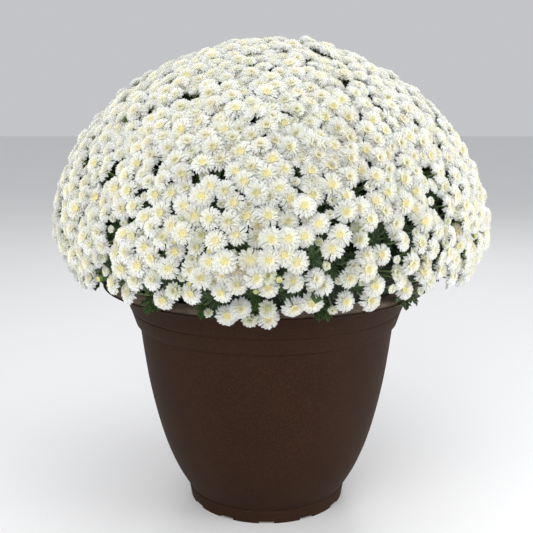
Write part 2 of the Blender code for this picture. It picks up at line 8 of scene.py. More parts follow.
import bpy
import numpy as np
from mathutils import Matrix, Quaternion, Vector
from mathutils.bvhtree import BVHTree
from mathutils.kdtree import KDTree

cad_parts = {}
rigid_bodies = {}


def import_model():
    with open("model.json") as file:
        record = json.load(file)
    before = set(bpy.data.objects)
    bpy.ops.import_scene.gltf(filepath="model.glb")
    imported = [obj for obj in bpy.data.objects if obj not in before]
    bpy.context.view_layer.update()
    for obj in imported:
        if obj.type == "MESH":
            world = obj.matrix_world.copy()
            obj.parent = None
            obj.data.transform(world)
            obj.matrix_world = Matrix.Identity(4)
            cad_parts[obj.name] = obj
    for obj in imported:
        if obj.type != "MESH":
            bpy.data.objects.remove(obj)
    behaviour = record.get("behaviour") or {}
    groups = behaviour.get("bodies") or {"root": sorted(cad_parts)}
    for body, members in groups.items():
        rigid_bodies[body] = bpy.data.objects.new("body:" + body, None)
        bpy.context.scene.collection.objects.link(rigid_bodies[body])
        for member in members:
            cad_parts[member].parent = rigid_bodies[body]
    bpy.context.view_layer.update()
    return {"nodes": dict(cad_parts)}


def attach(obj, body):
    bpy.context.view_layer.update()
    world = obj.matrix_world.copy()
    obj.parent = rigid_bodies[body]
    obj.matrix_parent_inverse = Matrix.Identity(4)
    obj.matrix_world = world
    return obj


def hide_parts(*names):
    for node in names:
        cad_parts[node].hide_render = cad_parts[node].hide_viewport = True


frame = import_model()
goldenAngle = math.pi * (3 - math.sqrt(5))
millimetre, perMetre = 0.001, 1000

# the kinds of node that are used most, and the settings with which a Mix node mixes colours
mathNode, mixNode, rangeNode = "ShaderNodeMath", "ShaderNodeMix", "ShaderNodeMapRange"
ofColours = {"data_type": "RGBA", "output": 2}


# Small helpers for colours, nodes and meshes

def linearColour(hexCode):
    # sRGB hex to the linear values that Blender reads
    channels = [int(hexCode[k:k + 2], 16) / 255 for k in (1, 3, 5)]
    return tuple(c / 12.92 if c <= 0.04045 else ((c + 0.055) / 1.055) ** 2.4 for c in channels) + (1.0,)


def addNode(tree, kind, inputs=(), output=0, **settings):
    # One node with its settings, and its inputs in order or by name or number: a socket is linked, a hex code
    # is set as a colour and any other value as it is. Gives back the output that is asked for
    node = tree.nodes.new(kind)
    for name, value in settings.items():
        setattr(node, name, value)
    for name, value in inputs.items() if isinstance(inputs, dict) else enumerate(inputs):
        if isinstance(value, bpy.types.NodeSocket):
            tree.links.new(value, node.inputs[name])
        elif isinstance(value, str) and value.startswith("#"):
            node.inputs[name].default_value = linearColour(value)
        else:
            node.inputs[name].default_value = value
    return node.outputs[output] if node.outputs else None


def newMaterial(name, roughness, ior, **sockets):
    # A Principled material whose even values are on the shader's own sockets
    material = bpy.data.materials.new(name)
    material.use_nodes = True
    shader = material.node_tree.nodes["Principled BSDF"]
    shader.inputs["Roughness"].default_value = roughness
    shader.inputs["IOR"].default_value = ior
    for socket, value in sockets.items():
        shader.inputs[socket.replace("_", " ")].default_value = value
    return material, material.node_tree, shader


def newTree(name, **inputs):
    # A geometry node tree with named inputs, listed by their kind of socket
    tree = bpy.data.node_groups.new(name, "GeometryNodeTree")
    for kind, labels in {"Geometry": ["Geometry"], **inputs}.items():
        for label in labels:
            tree.interface.new_socket(label, in_out="INPUT", socket_type="NodeSocket" + kind)
    tree.interface.new_socket("Geometry", in_out="OUTPUT", socket_type="NodeSocketGeometry")
    return tree, addNode(tree, "NodeGroupInput").node.outputs


def endTree(tree, geometry, materials):
    # Makes the copies real and gives each part of the mesh its material, by the face attribute "part"
    geometry = addNode(tree, "GeometryNodeRealizeInstances", [geometry])
    part = addNode(tree, "GeometryNodeInputNamedAttribute", {"Name": "part"}, "Attribute", data_type="INT")
    for number, material in enumerate(materials):
        chosen = addNode(tree, "FunctionNodeCompare", {2: part, 3: number}, data_type="INT",
                         operation="EQUAL")
        geometry = addNode(tree, "GeometryNodeSetMaterial", [geometry, chosen, material])
    addNode(tree, "NodeGroupOutput", [geometry])


def newObject(name, mesh, collection=None):
    made = bpy.data.objects.new(name, mesh)
    (collection or bpy.context.scene.collection).objects.link(made)
    return made


def grow(name, tree, values, start=None):
    # Runs a tree on a mesh, with inputs set by identifier, and returns the result as a plain mesh
    holder = newObject(name + "Holder", start or bpy.data.meshes.new(name + "Start"))
    modifier = holder.modifiers.new("grow", "NODES")
    modifier.node_group = tree
    for item in tree.interface.items_tree:
        if item.in_out == "INPUT" and item.name in values:
            modifier[item.identifier] = values[item.name]
    graph = bpy.context.evaluated_depsgraph_get()
    graph.update()
    mesh = bpy.data.meshes.new_from_object(holder.evaluated_get(graph), preserve_all_data_layers=True,
                                           depsgraph=graph)
    mesh.name = name
    for number in reversed(range(len(mesh.materials))):
        if mesh.materials[number] is None:              # a slot that no face uses
            mesh.materials.pop(index=number)
    holder.modifiers.remove(modifier)
    bpy.data.objects.remove(holder, do_unlink=True)
    return mesh


def buildMesh(name, points, faces, part=0, **pointValues):
    # Mesh with the face attribute "part" and one float attribute on its points for each further name
    mesh = bpy.data.meshes.new(name)
    mesh.from_pydata([tuple(p) for p in points], [], faces)
    parts = part if isinstance(part, list) else [part] * len(mesh.polygons)
    mesh.attributes.new("part", "INT", "FACE").data.foreach_set("value", parts)
    for label, values in pointValues.items():
        mesh.attributes.new(label, "FLOAT", "POINT").data.foreach_set("value", values)
    return mesh


def joinedMesh(name, meshes):
    # Several meshes as one, with the attributes that buildMesh gives
    points, faces, parts, values = [], [], [], {"along": [], "across": [], "whorl": []}
    for mesh in meshes:
        start = len(points)
        points += [v.co for v in mesh.vertices]
        faces += [tuple(start + v for v in face.vertices) for face in mesh.polygons]
        parts += [p.value for p in mesh.attributes["part"].data]
        for label, column in values.items():
            layer = mesh.attributes.get(label)
            column += [v.value for v in layer.data] if layer else [0.0] * len(mesh.vertices)
    joined = buildMesh(name, points, faces, parts, **values)
    joined.shade_smooth()
    return joined


def turnedMesh(name, profile, sides, closeEnds=False, part=0):
    # Surface of revolution about Z. The profile runs up its outer side
    points = [(r * math.cos(2 * math.pi * k / sides), r * math.sin(2 * math.pi * k / sides), z)
              for r, z in profile for k in range(sides)]
    faces = [(row * sides + k, row * sides + (k + 1) % sides,
              (row + 1) * sides + (k + 1) % sides, (row + 1) * sides + k)
             for row in range(len(profile) - 1) for k in range(sides)]
    if closeEnds:
        faces += [tuple(reversed(range(sides))), tuple(range(len(points) - sides, len(points)))]
    return buildMesh(name, points, faces, part)


def smoothRun(points, steps):
    # Smooth curve through points: a Catmull-Rom spline
    points = [np.array(p) for p in points]
    points = [2 * points[0] - points[1]] + points + [2 * points[-1] - points[-2]]
    run = []
    for a, b, c, d in zip(points, points[1:], points[2:], points[3:]):
        for k in range(steps):
            t = k / steps
            run.append(tuple(0.5 * (2 * b + (c - a) * t + (2 * a - 5 * b + 4 * c - d) * t * t
                                    + (3 * b - a - 3 * c + d) * t ** 3)))
    return run + [tuple(points[-2])]


def roundCorners(outline, steps=3):
    # Outline of (radius, height, rounding) to a profile whose corners are arcs
    profile = []
    for k, (r, z, rounding) in enumerate(outline):
        here = Vector((r, z))
        if rounding == 0 or k in (0, len(outline) - 1):
            profile.append((r, z))
            continue
        before = Vector(outline[k - 1][:2]) - here
        after = Vector(outline[k + 1][:2]) - here
        reach = min(rounding, before.length * 0.49, after.length * 0.49)      # never past half of an edge
        start, end = here + before.normalized() * reach, here + after.normalized() * reach
        for step in range(steps + 1):
            t = step / steps
            profile.append(tuple(start.lerp(here, t).lerp(here.lerp(end, t), t)))
    return profile


# The pot's sizes, which its material reads too

potForm = {
    "sides": 144, "wall": 0.003, "sharpFrom": 40,     # edges sharper than this many degrees stay sharp
    "belly": [(0.1014, 0.0192), (0.1160, 0.0450), (0.1288, 0.0760), (0.1392, 0.1120), (0.1485, 0.1550),
              (0.1545, 0.1950), (0.1590, 0.2318)],
    "bellySteps": 4,
    "foot": [(0.0985, 0.0, 0.0), (0.1010, 0.0160, 0.0015), (0.0998, 0.0172, 0.0006)],
    # the lip slopes a little up to its inner edge
    "collar": [(0.1635, 0.2345, 0.0012), (0.1692, 0.2522, 0.0012), (0.1684, 0.2535, 0.0006),
               (0.1708, 0.2555, 0.0015), (0.1770, 0.2770, 0.005), (0.1850, 0.2815, 0.003),
               (0.2032, 0.2847, 0.0012), (0.2010, 0.2860, 0.0012), (0.1775, 0.2900, 0.003)],
    "collarInside": [(0.1662, 0.2560), (0.1600, 0.2370)], "insideSteps": 3, "insideFrom": 0.03,
    "floor": 0.006, "floorRound": 0.014, "underside": [(0.002, 0.0), (0.06, 0.0)],
    "dustAndLightFrom": 0.2856, "dustAndLightFull": 0.2866,
    # notches in the foot and holes in the floor; what cuts them goes a little past the plastic
    "notches": 12, "notchWidth": 0.019, "notchHeight": 0.0028, "notchReach": (0.072, 0.112),
    "notchRing": 0.01, "notchDrop": 0.004,
    "drains": 6, "drainRadius": 0.006, "drainRing": 0.080, "drainSides": 24, "drainReach": (-0.002, 0.02),
}


# Materials

def mottle(tree, size, detail=3.0):
    # Even noise whose patches are about `size` metres across
    place = addNode(tree, "ShaderNodeTexCoord", output="Object")
    return addNode(tree, "ShaderNodeTexNoise", {"Vector": place, "Scale": 1 / size, "Detail": detail}, "Fac")


def layered(tree, colour, *layers):
    # A colour with others over it. Each is given as (colour, value, low, high, share): it comes in as the
    # value goes from low to high, up to its share
    for over, value, low, high, share in layers:
        cover = addNode(tree, rangeNode, [value, low, high, 0.0, share])
        colour = addNode(tree, mixNode, {0: cover, 6: colour, 7: over}, **ofColours)
    return colour


def paint(tree, shader, colour, height=None, depth=0.0, strength=1.0):
    # Gives the shader its colour, and raises its surface by the height if there is one
    tree.links.new(colour, shader.inputs["Base Color"])
    if height:
        bump = addNode(tree, "ShaderNodeBump", {"Height": height, "Distance": depth, "Strength": strength})
        tree.links.new(bump, shader.inputs["Normal"])


def letLightThrough(tree, shader, colour, share):
    # Mixes in light that passes through a thin blade
    through = addNode(tree, "ShaderNodeBsdfTranslucent", [colour])
    both = addNode(tree, "ShaderNodeMixShader", [share, shader.outputs[0], through])
    tree.links.new(both, tree.nodes["Material Output"].inputs["Surface"])


def mouldedPolypropylene():
    # Dark brown pot plastic from a spark-eroded mould: a fine matt grain that leaves only a broad weak sheen
    material, tree, shader = newMaterial("mouldedPolypropylene", 0.62, 1.49, Specular_IOR_Level=0.09)
    grain = mottle(tree, 1.5 * millimetre, 2.0)        # real grain is about 0.3 mm, drawn coarser to show
    colour = layered(tree, "#251409", ("#29170b", mottle(tree, 60 * millimetre), 0.35, 0.65, 1.0),
                     ("#463325", grain, 0.42, 0.70, 0.34))
    place = addNode(tree, "ShaderNodeTexCoord", output="Object")
    height = addNode(tree, "ShaderNodeSeparateXYZ", [place], "Z")
    onLip = addNode(tree, rangeNode, [height, potForm["dustAndLightFrom"], potForm["dustAndLightFull"]])
    patches = addNode(tree, rangeNode, [mottle(tree, 7 * millimetre), 0.35, 0.65, 0.6, 1.0])
    dustAndPaintedLight = addNode(tree, mathNode, [onLip, patches], operation="MULTIPLY")       # dust and peat on the lip, and painted light that lightens the lip's top where the blooms over it shade it
    colour = addNode(tree, mixNode, {0: dustAndPaintedLight, 6: colour, 7: "#bda796"}, **ofColours)
    paint(tree, shader, colour, grain, 0.20 * millimetre, 0.8)
    roughness = addNode(tree, rangeNode, [grain, 0.3, 0.7, 0.56, 0.70])
    tree.links.new(roughness, shader.inputs["Roughness"])
    return material


def patchyMaterial(name, roughness, size, detail, between, colours, depth):
    # Rough material in patches of two colours, whose lighter patches stand up by the depth
    material, tree, shader = newMaterial(name, roughness, 1.4)
    patches = mottle(tree, size, detail)
    paint(tree, shader, layered(tree, colours[0], (colours[1], patches, *between, 1.0)), patches, depth)
    return material


def greenStalk():
    # Bloom stalks and the scales under each bloom: fresh grey-green, finely downy
    material, tree, shader = newMaterial("greenStalk", 0.7, 1.4, Sheen_Weight=0.2)
    flecks = mottle(tree, 2 * millimetre)
    paint(tree, shader, addNode(tree, mixNode, {0: flecks, 6: "#4f6a2e", 7: "#7f9a4c"}, **ofColours))
    return material


def waxyLeaf():
    # Chrysanthemum leaf: dark green and slightly waxy, a paler midrib with slanting side veins and a painted
    # highlight along its thin rim, and each leaf a little lighter or yellower than the next
    material, tree, shader = newMaterial("waxyLeaf", 0.52, 1.42)
    along, across, tone, edge = (addNode(tree, "ShaderNodeAttribute", output="Fac", attribute_name=name)
                                 for name in ("along", "across", "tone", "rim"))
    side = addNode(tree, mathNode, [across], operation="ABSOLUTE")
    midrib = addNode(tree, rangeNode, [side, 0.006, 0.018, 1.0, 0.0])
    slant = addNode(tree, mathNode, [side, -1.1, along], operation="MULTIPLY_ADD")
    comb = addNode(tree, mathNode, [slant, 0.06], operation="PINGPONG")
    veins = addNode(tree, rangeNode, [comb, 0.0, 0.012, 0.55, 0.0])
    lines = addNode(tree, mathNode, [midrib, veins], operation="MAXIMUM")
    colour = layered(tree, "#0b1b0a", ("#172d12", mottle(tree, 12 * millimetre), 0.35, 0.7, 1.0),
                     ("#46652a", tone, 0.0, 1.0, 0.6))
    colour = addNode(tree, mixNode, {0: lines, 6: colour, 7: "#4a6b34"}, **ofColours)
    # painted highlight: a thin light line along the rim of every lobe
    colour = layered(tree, colour, ("#78955a", edge, 0.84, 1.0, 0.75))
    sunken = addNode(tree, rangeNode, [lines, 0.0, 1.0, 1.0, 0.0])
    paint(tree, shader, colour, sunken, 0.5 * millimetre, 0.7)
    return material


def rayFloret():
    # White petal: velvety, ribbed along its length and slightly see-through, so that shade stays light.
    # It is creamier towards the heart, and greener or more beige by its age
    material, tree, shader = newMaterial("rayFloret", 0.6, 1.4)
    along, across, whorl, tone = (addNode(tree, "ShaderNodeAttribute", output="Fac", attribute_name=name)
                                  for name in ("along", "across", "whorl", "tone"))
    side = addNode(tree, mathNode, [across], operation="ABSOLUTE")
    white = layered(tree, "#fdfefd", ("#fefbe6", whorl, 0.35, 0.7, 1.0))
    root = layered(tree, "#fafbf5", ("#fcf7cb", whorl, 0.1, 0.65, 1.0))
    green = layered(tree, "#c4cd86", ("#f5f7e2", along, 0.1, 0.8, 1.0))
    colour = layered(tree, root, (white, along, 0.05, 0.55, 1.0),
                     ("#d6dad0", side, 0.28, 0.5, 0.30),              # painted shade: thin grey edges, where the petals curl away from the light
                     ("#e8deb4", tone, 0.0, 1.0, 0.75),               # beige when old, green when young
                     (green, tone, 0.0, -1.0, 0.85))
    ribs = addNode(tree, mathNode, [across, 0.16], operation="PINGPONG")
    paint(tree, shader, colour, addNode(tree, rangeNode, [ribs, 0.0, 0.16]), 0.10 * millimetre)
    letLightThrough(tree, shader, colour, 0.48)
    return material


def discFloret():
    # Heart of the bloom: packed short pale yellow florets, darker and greener in the dimple
    material, tree, shader = newMaterial("discFloret", 0.7, 1.4)
    whorl, tone, along = (addNode(tree, "ShaderNodeAttribute", output="Fac", attribute_name=name)
                          for name in ("whorl", "tone", "along"))
    tips = layered(tree, "#fdf8d6", ("#d8ca6c", whorl, 0.78, 0.97, 1.0))
    colour = layered(tree, "#faf3be", (tips, along, 0.3, 0.9, 1.0), ("#cdd18a", tone, 0.0, -1.0, 0.8))
    paint(tree, shader, colour)
    letLightThrough(tree, shader, colour, 0.30)
    return material


looks = {
    "pot": mouldedPolypropylene(), "leaf": waxyLeaf(), "stalk": greenStalk(), "petal": rayFloret(),
    "disc": discFloret(),
    # damp peat with bark crumbs: near black and rough, with paler fibres
    "mix": patchyMaterial("peatMix", 0.95, 4 * millimetre, 6.0, (0.4, 0.7), ("#1c130c", "#4a3524"),
                          2.5 * millimetre),
    # old chrysanthemum stems: brown-green bark with fine lengthwise cracks
    "bark": patchyMaterial("woodyBark", 0.85, 3 * millimetre, 5.0, (0.4, 0.65), ("#4a4122", "#6f6236"),
                           0.8 * millimetre),
    # painted shade: a near-black dark green shell for the shaded crowd of leaves and stalks inside the dome,
    # broken up
    "inner": patchyMaterial("innerFoliage", 0.9, 9 * millimetre, 5.0, (0.4, 0.7), ("#0a120a", "#1c2c14"),
                            6 * millimetre),
}
print("materials ready")


# The pot: a turned shell with its drain notches and holes cut by geometry nodes

def boxMesh(name, low, high):
    points = [(x, y, z) for x in (low[0], high[0]) for y in (low[1], high[1]) for z in (low[2], high[2])]
    faces = [(0, 1, 3, 2), (4, 6, 7, 5), (0, 4, 5, 1), (2, 3, 7, 6), (0, 2, 6, 4), (1, 5, 7, 3)]
    return buildMesh(name, points, faces)


def drainageTree():
    # Cutters on two rings, taken out of the pot
    tree, given = newTree("drainage", Object=["Notch", "Drain"], Int=["Notches", "Drains"],
                          Float=["Notch Ring", "Drain Ring"])
    rings = []
    for shape, count in (("Notch", "Notches"), ("Drain", "Drains")):
        circle = addNode(tree, "GeometryNodeMeshCircle",
                         {"Vertices": given[count], "Radius": given[shape + " Ring"]})
        cutter = addNode(tree, "GeometryNodeObjectInfo",
                         {"Object": given[shape], "As Instance": True}, "Geometry")
        turn = addNode(tree, "FunctionNodeAlignRotationToVector",
                       {"Vector": addNode(tree, "GeometryNodeInputPosition")}, axis="X", pivot_axis="Z")
        copies = addNode(tree, "GeometryNodeInstanceOnPoints",
                         {"Points": circle, "Instance": cutter, "Rotation": turn})
        rings.append(addNode(tree, "GeometryNodeRealizeInstances", [copies]))
    body = given["Geometry"]
    for ring in rings:
        body = addNode(tree, "GeometryNodeMeshBoolean", {"Mesh 1": body, "Mesh 2": ring},
                       operation="DIFFERENCE")
    endTree(tree, body, [looks["pot"]])
    return tree


def makePot(form):
    outside = roundCorners(form["foot"]) + smoothRun(form["belly"], form["bellySteps"])
    collar = roundCorners([(*form["belly"][-1], 0.0)] + form["collar"])[1:]
    down = reversed(smoothRun(form["belly"], form["insideSteps"]))
    inside = [(r - form["wall"], z) for r, z in down if z > form["insideFrom"]]
    profile = form["underside"] + outside + collar + form["collarInside"] + inside
    profile.append((inside[-1][0] - form["floorRound"], form["floor"]))
    profile.append((form["underside"][0][0], form["floor"]))
    shell = turnedMesh("potShell", profile, form["sides"], closeEnds=True)
    near, far = (reach - form["notchRing"] for reach in form["notchReach"])
    half = form["notchWidth"] / 2
    notch = newObject("notchCutter", boxMesh("notchCutter", (near, -half, -form["notchDrop"]),
                                             (far, half, form["notchHeight"])))
    hole = [(form["drainRadius"], height) for height in form["drainReach"]]
    drain = newObject("drainCutter", turnedMesh("drainCutter", hole, form["drainSides"], True))
    mesh = grow("pot_shell", drainageTree(), {
        "Notch": notch, "Notches": form["notches"], "Notch Ring": form["notchRing"],
        "Drain": drain, "Drains": form["drains"], "Drain Ring": form["drainRing"]}, shell)
    for tool in (notch, drain):
        bpy.data.objects.remove(tool, do_unlink=True)
    mesh.shade_smooth()
    mesh.set_sharp_from_angle(angle=math.radians(form["sharpFrom"]))
    pot = newObject("pot_shell", mesh)
    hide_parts("pot")
    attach(pot, "root")


makePot(potForm)
for node, look in (("potting_mix", "mix"), ("woody_stems", "bark")):
    slots = frame["nodes"][node].data.materials
    slots.clear()
    slots.append(looks[look])
print("pot, mix and stems ready")


# The dome: where blooms stand and which way they look

domeForm = {
    "middle": 0.005,             # to the right of the pot's middle
    "radius": 0.262, "widest": 0.350, "rise": 0.225, "drop": 0.112, "roundness": 1.055,
    "edge": math.radians(125),   # angle from the top down to the lowest blooms
    # blooms look straight out of the dome down to this many degrees, then they only slowly turn down
    "outTo": 75, "slowing": 0.45,
    "bands": 1500, "topmost": 0.01,      # strips that its area is measured in, and the least angle of a bloom
}


def domeOutline(angle):
    form = domeForm
    below = np.where(angle > math.pi / 2, form["drop"], form["rise"])
    radius = form["radius"] * np.abs(np.sin(angle)) ** form["roundness"]
    height = form["widest"] + np.sign(np.cos(angle)) * below * np.abs(np.cos(angle)) ** form["roundness"]
    return radius, height


def domeAngle(height):
    # Angle from the top at which the dome has this height
    angles = np.linspace(0.05, domeForm["edge"], 400)
    return float(np.interp(-height, -domeOutline(angles)[1], angles))


def domePoint(angle, azimuth, depth=0.0):
    # Place on the dome, or under it along the way a bloom faces there
    radius, height = (float(v) for v in domeOutline(np.array(angle)))
    place = Vector((domeForm["middle"] + radius * math.cos(azimuth), radius * math.sin(azimuth), height))
    return place - depth * domeFacing(angle, azimuth)


def domeFacing(angle, azimuth):
    # Out from the dome, and only a little down at its lower edge
    degrees, outTo = math.degrees(angle), domeForm["outTo"]
    lift = math.radians(90 - min(degrees, outTo) - max(degrees - outTo, 0) * domeForm["slowing"])
    flat = math.cos(lift)
    return Vector((flat * math.cos(azimuth), flat * math.sin(azimuth), math.sin(lift)))


def goldenSites(spacing, scatter, firstTurn, draw):
    # Evenly spread (angle, azimuth) places on the dome, each strayed a little
    angles = np.linspace(0.002, domeForm["edge"], domeForm["bands"])
    radius, height = domeOutline(angles)
    band = np.pi * (radius[1:] + radius[:-1]) * np.hypot(np.diff(radius), np.diff(height))
    area = np.concatenate([[0.0], np.cumsum(band)])
    count = round(area[-1] / (spacing ** 2 * math.sqrt(3) / 2))
    sites = []
    for k in range(count):
        angle = float(np.interp((k + 0.5) / count * area[-1], area, angles))
        across = max(float(domeOutline(np.array(angle))[0]), spacing * 0.6)
        angle += draw.uniform(-1, 1) * scatter * spacing / domeForm["radius"]
        azimuth = firstTurn + k * goldenAngle + draw.uniform(-1, 1) * scatter * spacing / across
        sites.append((max(angle, domeForm["topmost"]), azimuth))
    return sites


# Blooms

petalForm = {
    # where a blade of length 1 is widest, half its width there, and how it is cupped and bent
    "outer": {"widest": 0.80, "half": 0.50, "cup": 0.28, "bend": -0.06},
    "inner": {"widest": 0.72, "half": 0.50, "cup": 0.22, "bend": 0.12},
}

bloomForms = {
    # numbers of long petals, short petals and heart florets, then sizes in metres and tilts in degrees
    "bloom0Full": {"outer": 62, "inner": 28, "florets": 25, "reach": 0.0131, "short": 0.0036,
                   "width": 0.0028, "heart": 0.0029, "outerTilt": -12, "innerTilt": 54, "seed": 3},
    "bloom1Open": {"outer": 56, "inner": 24, "florets": 27, "reach": 0.0129, "short": 0.0034,
                   "width": 0.0029, "heart": 0.0031, "outerTilt": -15, "innerTilt": 48, "seed": 8},
    "bloom2Double": {"outer": 66, "inner": 40, "florets": 13, "reach": 0.0128, "short": 0.0042,
                     "width": 0.0027, "heart": 0.0022, "outerTilt": -8, "innerTilt": 68, "seed": 15},
    "bloom3Young": {"outer": 42, "inner": 24, "florets": 9, "reach": 0.0106, "short": 0.0040,
                    "width": 0.0027, "heart": 0.0022, "outerTilt": 20, "innerTilt": 72, "seed": 21},
    "bloom4Opening": {"outer": 26, "inner": 16, "florets": 4, "reach": 0.0080, "short": 0.0044,
                      "width": 0.0024, "heart": 0.0020, "outerTilt": 50, "innerTilt": 82, "seed": 33},
}
heartForm = {
    "sides": 6, "rise": 0.60, "dimple": 0.26, "florets": 0.46, "longest": 0.46, "shortest": 0.24,
    # the low dome under its florets, and how far up each floret is widest
    "domeWide": 1.05, "domeFoot": 0.8, "domeTop": 1.15, "domeTip": 0.0001, "domeWhorl": 0.8, "shoulder": 0.35,
}
budForm = {
    "radius": 0.0038, "ridges": 7, "ridgeDepth": 0.70, "dimple": 1.70, "rows": 5, "openRow": 2,
    "firstRise": 0.30, "moreRise": 0.60, "twist": 0.14, "tall": 1.05, "firstWhorl": 0.75, "moreWhorl": 0.05,
}
stalkForm = {"length": 0.024, "radius": 0.0009, "taper": 1.1, "cup": 0.0034, "cupFoot": -0.0034,
             "cupTop": 0.0002, "sides": 4}


def petalMesh(name, widest, half, cup, bend):
    # Cupped blade along +X from one point to a rounded end; length and width are 1
    points = [(0.0, 0.0, 0.0)]
    points += [(widest, side * half, cup * abs(side) + bend * widest * widest) for side in (-1, 0, 1)]
    points.append((1.0, 0.0, bend + cup * 0.5))
    faces = [(0, 1, 2), (0, 2, 3), (1, 4, 2), (2, 4, 3)]
    mesh = buildMesh(name, points, faces, 0, along=[p[0] for p in points], across=[p[1] for p in points])
    mesh.shade_smooth()
    return mesh


def floretMesh(name):
    # Pointed cap of one floret of the yellow heart, along +X
    up = heartForm["shoulder"]
    ring = [(up, 0.5 * math.cos(a), 0.5 * math.sin(a)) for a in (0, math.pi / 2, math.pi, 1.5 * math.pi)]
    faces = [(k, (k + 1) % 4, 4) for k in range(4)]
    return buildMesh(name, ring + [(1.0, 0.0, 0.0)], faces, 1, along=[up] * 4 + [1.0])


def stalkMesh(name, heart):
    # Thin stalk that widens into the green cup under a bloom
    form = stalkForm
    stem = turnedMesh("stem", [(form["radius"], -form["length"]),
                               (form["radius"] * form["taper"], form["cupFoot"]),
                               (form["cup"], form["cupTop"])], form["sides"], part=2)
    if heart == 0:
        return stem
    form, rise = heartForm, heart * heartForm["rise"]            # the low dome that carries the heart
    dome = turnedMesh("dome", [(heart * form["domeWide"], rise * form["domeFoot"]),
                               (form["domeTip"], rise * form["domeTop"])], form["sides"], part=1)
    whorls = [form["domeWhorl"]] * len(dome.vertices)
    dome.attributes.new("whorl", "FLOAT", "POINT").data.foreach_set("value", whorls)
    return joinedMesh(name, [stem, dome])


def budMesh(name):
    # Round closed bud: ridges of folded petals rise out of a green cup
    form = budForm
    ring = form["ridges"] * 2
    points, along, across = [], [], []
    for row in range(form["rows"]):
        share = row / (form["rows"] - 1)
        rise = math.pi * (form["firstRise"] + form["moreRise"] * share)
        for k in range(ring):
            turn = 2 * math.pi * k / ring + row * form["twist"]
            ridge = 1.0 if k % 2 else form["ridgeDepth"]
            radius = form["radius"] * math.sin(rise) * (ridge if row else 1.0)
            height = form["radius"] * (1 - math.cos(rise)) * form["tall"]
            points.append((radius * math.cos(turn), radius * math.sin(turn), height))
            along.append(share)
            across.append(0.0 if k % 2 else 0.5)
    faces = [(row * ring + k, row * ring + (k + 1) % ring, (row + 1) * ring + (k + 1) % ring,
              (row + 1) * ring + k) for row in range(form["rows"] - 1) for k in range(ring)]
    parts = [2 if row < form["openRow"] else 1 for row in range(form["rows"] - 1) for k in range(ring)]
    points.append((0.0, 0.0, form["radius"] * form["dimple"]))
    top = (form["rows"] - 1) * ring
    faces += [(top + k, top + (k + 1) % ring, len(points) - 1) for k in range(ring)]
    whorl = [form["firstWhorl"] + form["moreWhorl"] * (k // ring) for k in range(len(points))]
    mesh = buildMesh(name, points, faces, parts + [1] * ring, along=along + [1.0], across=across + [0.5],
                     whorl=whorl)
    mesh.shade_smooth()
    return mesh


bloomSums = [
    # for each floret: the name of a value, how it is worked out, and from which inputs, values and numbers
    ("petals", "ADD", "Outer Petals", "Inner Petals"),
    ("count", "ADD", "petals", "Heart Florets"),
    ("outerEnd", "SUBTRACT", "Outer Petals", 0.5),
    ("isInner", "GREATER_THAN", "index", "outerEnd"),
    ("petalsEnd", "SUBTRACT", "petals", 0.5),
    ("isHeart", "GREATER_THAN", "index", "petalsEnd"),
    ("kind", "ADD", "isInner", "isHeart"),
    ("inWhorls", "DIVIDE", "index", "petals"),
    ("share", "MINIMUM", "inWhorls", 1.0),           # 0 at the outermost petal, 1 from the heart on
    ("pastPetals", "SUBTRACT", "index", "petals"),
    ("inHeart", "DIVIDE", "pastPetals", "Heart Florets"),
    ("deep", "MAXIMUM", "inHeart", 0.0),             # 0 up to the heart's rim, 1 in its middle
    ("turnStray", "STRAY", 0.09, 0.0),
    ("turn", "MULTIPLY_ADD", "index", goldenAngle, "turnStray"),
    ("petalSpread", "MULTIPLY_ADD", "share", -0.15, 1.0),
    ("towardsRim", "SUBTRACT", 1.0, "deep"),
    ("evenRim", "SQRT", "towardsRim"),
    ("heartSpread", "MULTIPLY", "evenRim", 0.92),
    ("spread", "MIX", "isHeart", "petalSpread", "heartSpread"),
    ("root", "MULTIPLY", "Heart", "spread"),         # how far from the middle it grows
    ("petalHeight", "MULTIPLY", "share", heartForm["rise"]),
    ("heartHeight", "MULTIPLY_ADD", "deep", -heartForm["dimple"], heartForm["rise"] * 1.3),
    ("height", "MIX", "isHeart", "petalHeight", "heartHeight"),
    ("cosine", "COSINE", "turn"),
    ("sine", "SINE", "turn"),
    ("x", "MULTIPLY", "root", "cosine"),
    ("y", "MULTIPLY", "root", "sine"),
    ("z", "MULTIPLY", "Heart", "height"),
    ("raised", "POWER", "share", 1.5),
    ("leaning", "MIX", "raised", "Outer Tilt", "Inner Tilt"),
    ("heartLeaning", "MIX", "deep", math.radians(68), math.radians(90)),
    ("leans", "MIX", "isHeart", "leaning", "heartLeaning"),
    ("tiltStray", "STRAY", 0.10, 1.0),
    ("tilt", "ADD", "leans", "tiltStray"),
    ("upward", "MULTIPLY", "tilt", -1.0),
    ("shortened", "POWER", "share", 1.6),
    ("longest", "SUBTRACT", "Reach", "Heart"),
    ("blade", "MIX", "shortened", "longest", "Short"),
    ("floretShare", "MIX", "deep", heartForm["longest"], heartForm["shortest"]),
    ("floret", "MULTIPLY", "Heart", "floretShare"),
    ("evenLength", "MIX", "isHeart", "blade", "floret"),
    ("lengthStray", "STRAY", 0.07, 2.0),
    ("strayed", "ADD", 1.0, "lengthStray"),
    ("long", "MULTIPLY", "evenLength", "strayed"),
    ("narrowed", "MIX", "share", 1.0, 0.66),
    ("petalWide", "MULTIPLY", "Width", "narrowed"),
    ("floretWide", "MULTIPLY", "Heart", heartForm["florets"]),
    ("wide", "MIX", "isHeart", "petalWide", "floretWide"),
    ("thick", "MIX", "isHeart", "long", "wide"),
    ("roll", "STRAY", 0.20, 3.0),
    ("petalWhorl", "MULTIPLY", "share", 0.7),
    ("heartWhorl", "MULTIPLY_ADD", "deep", 0.3, 0.7),
    ("whorl", "MIX", "isHeart", "petalWhorl", "heartWhorl"),
]


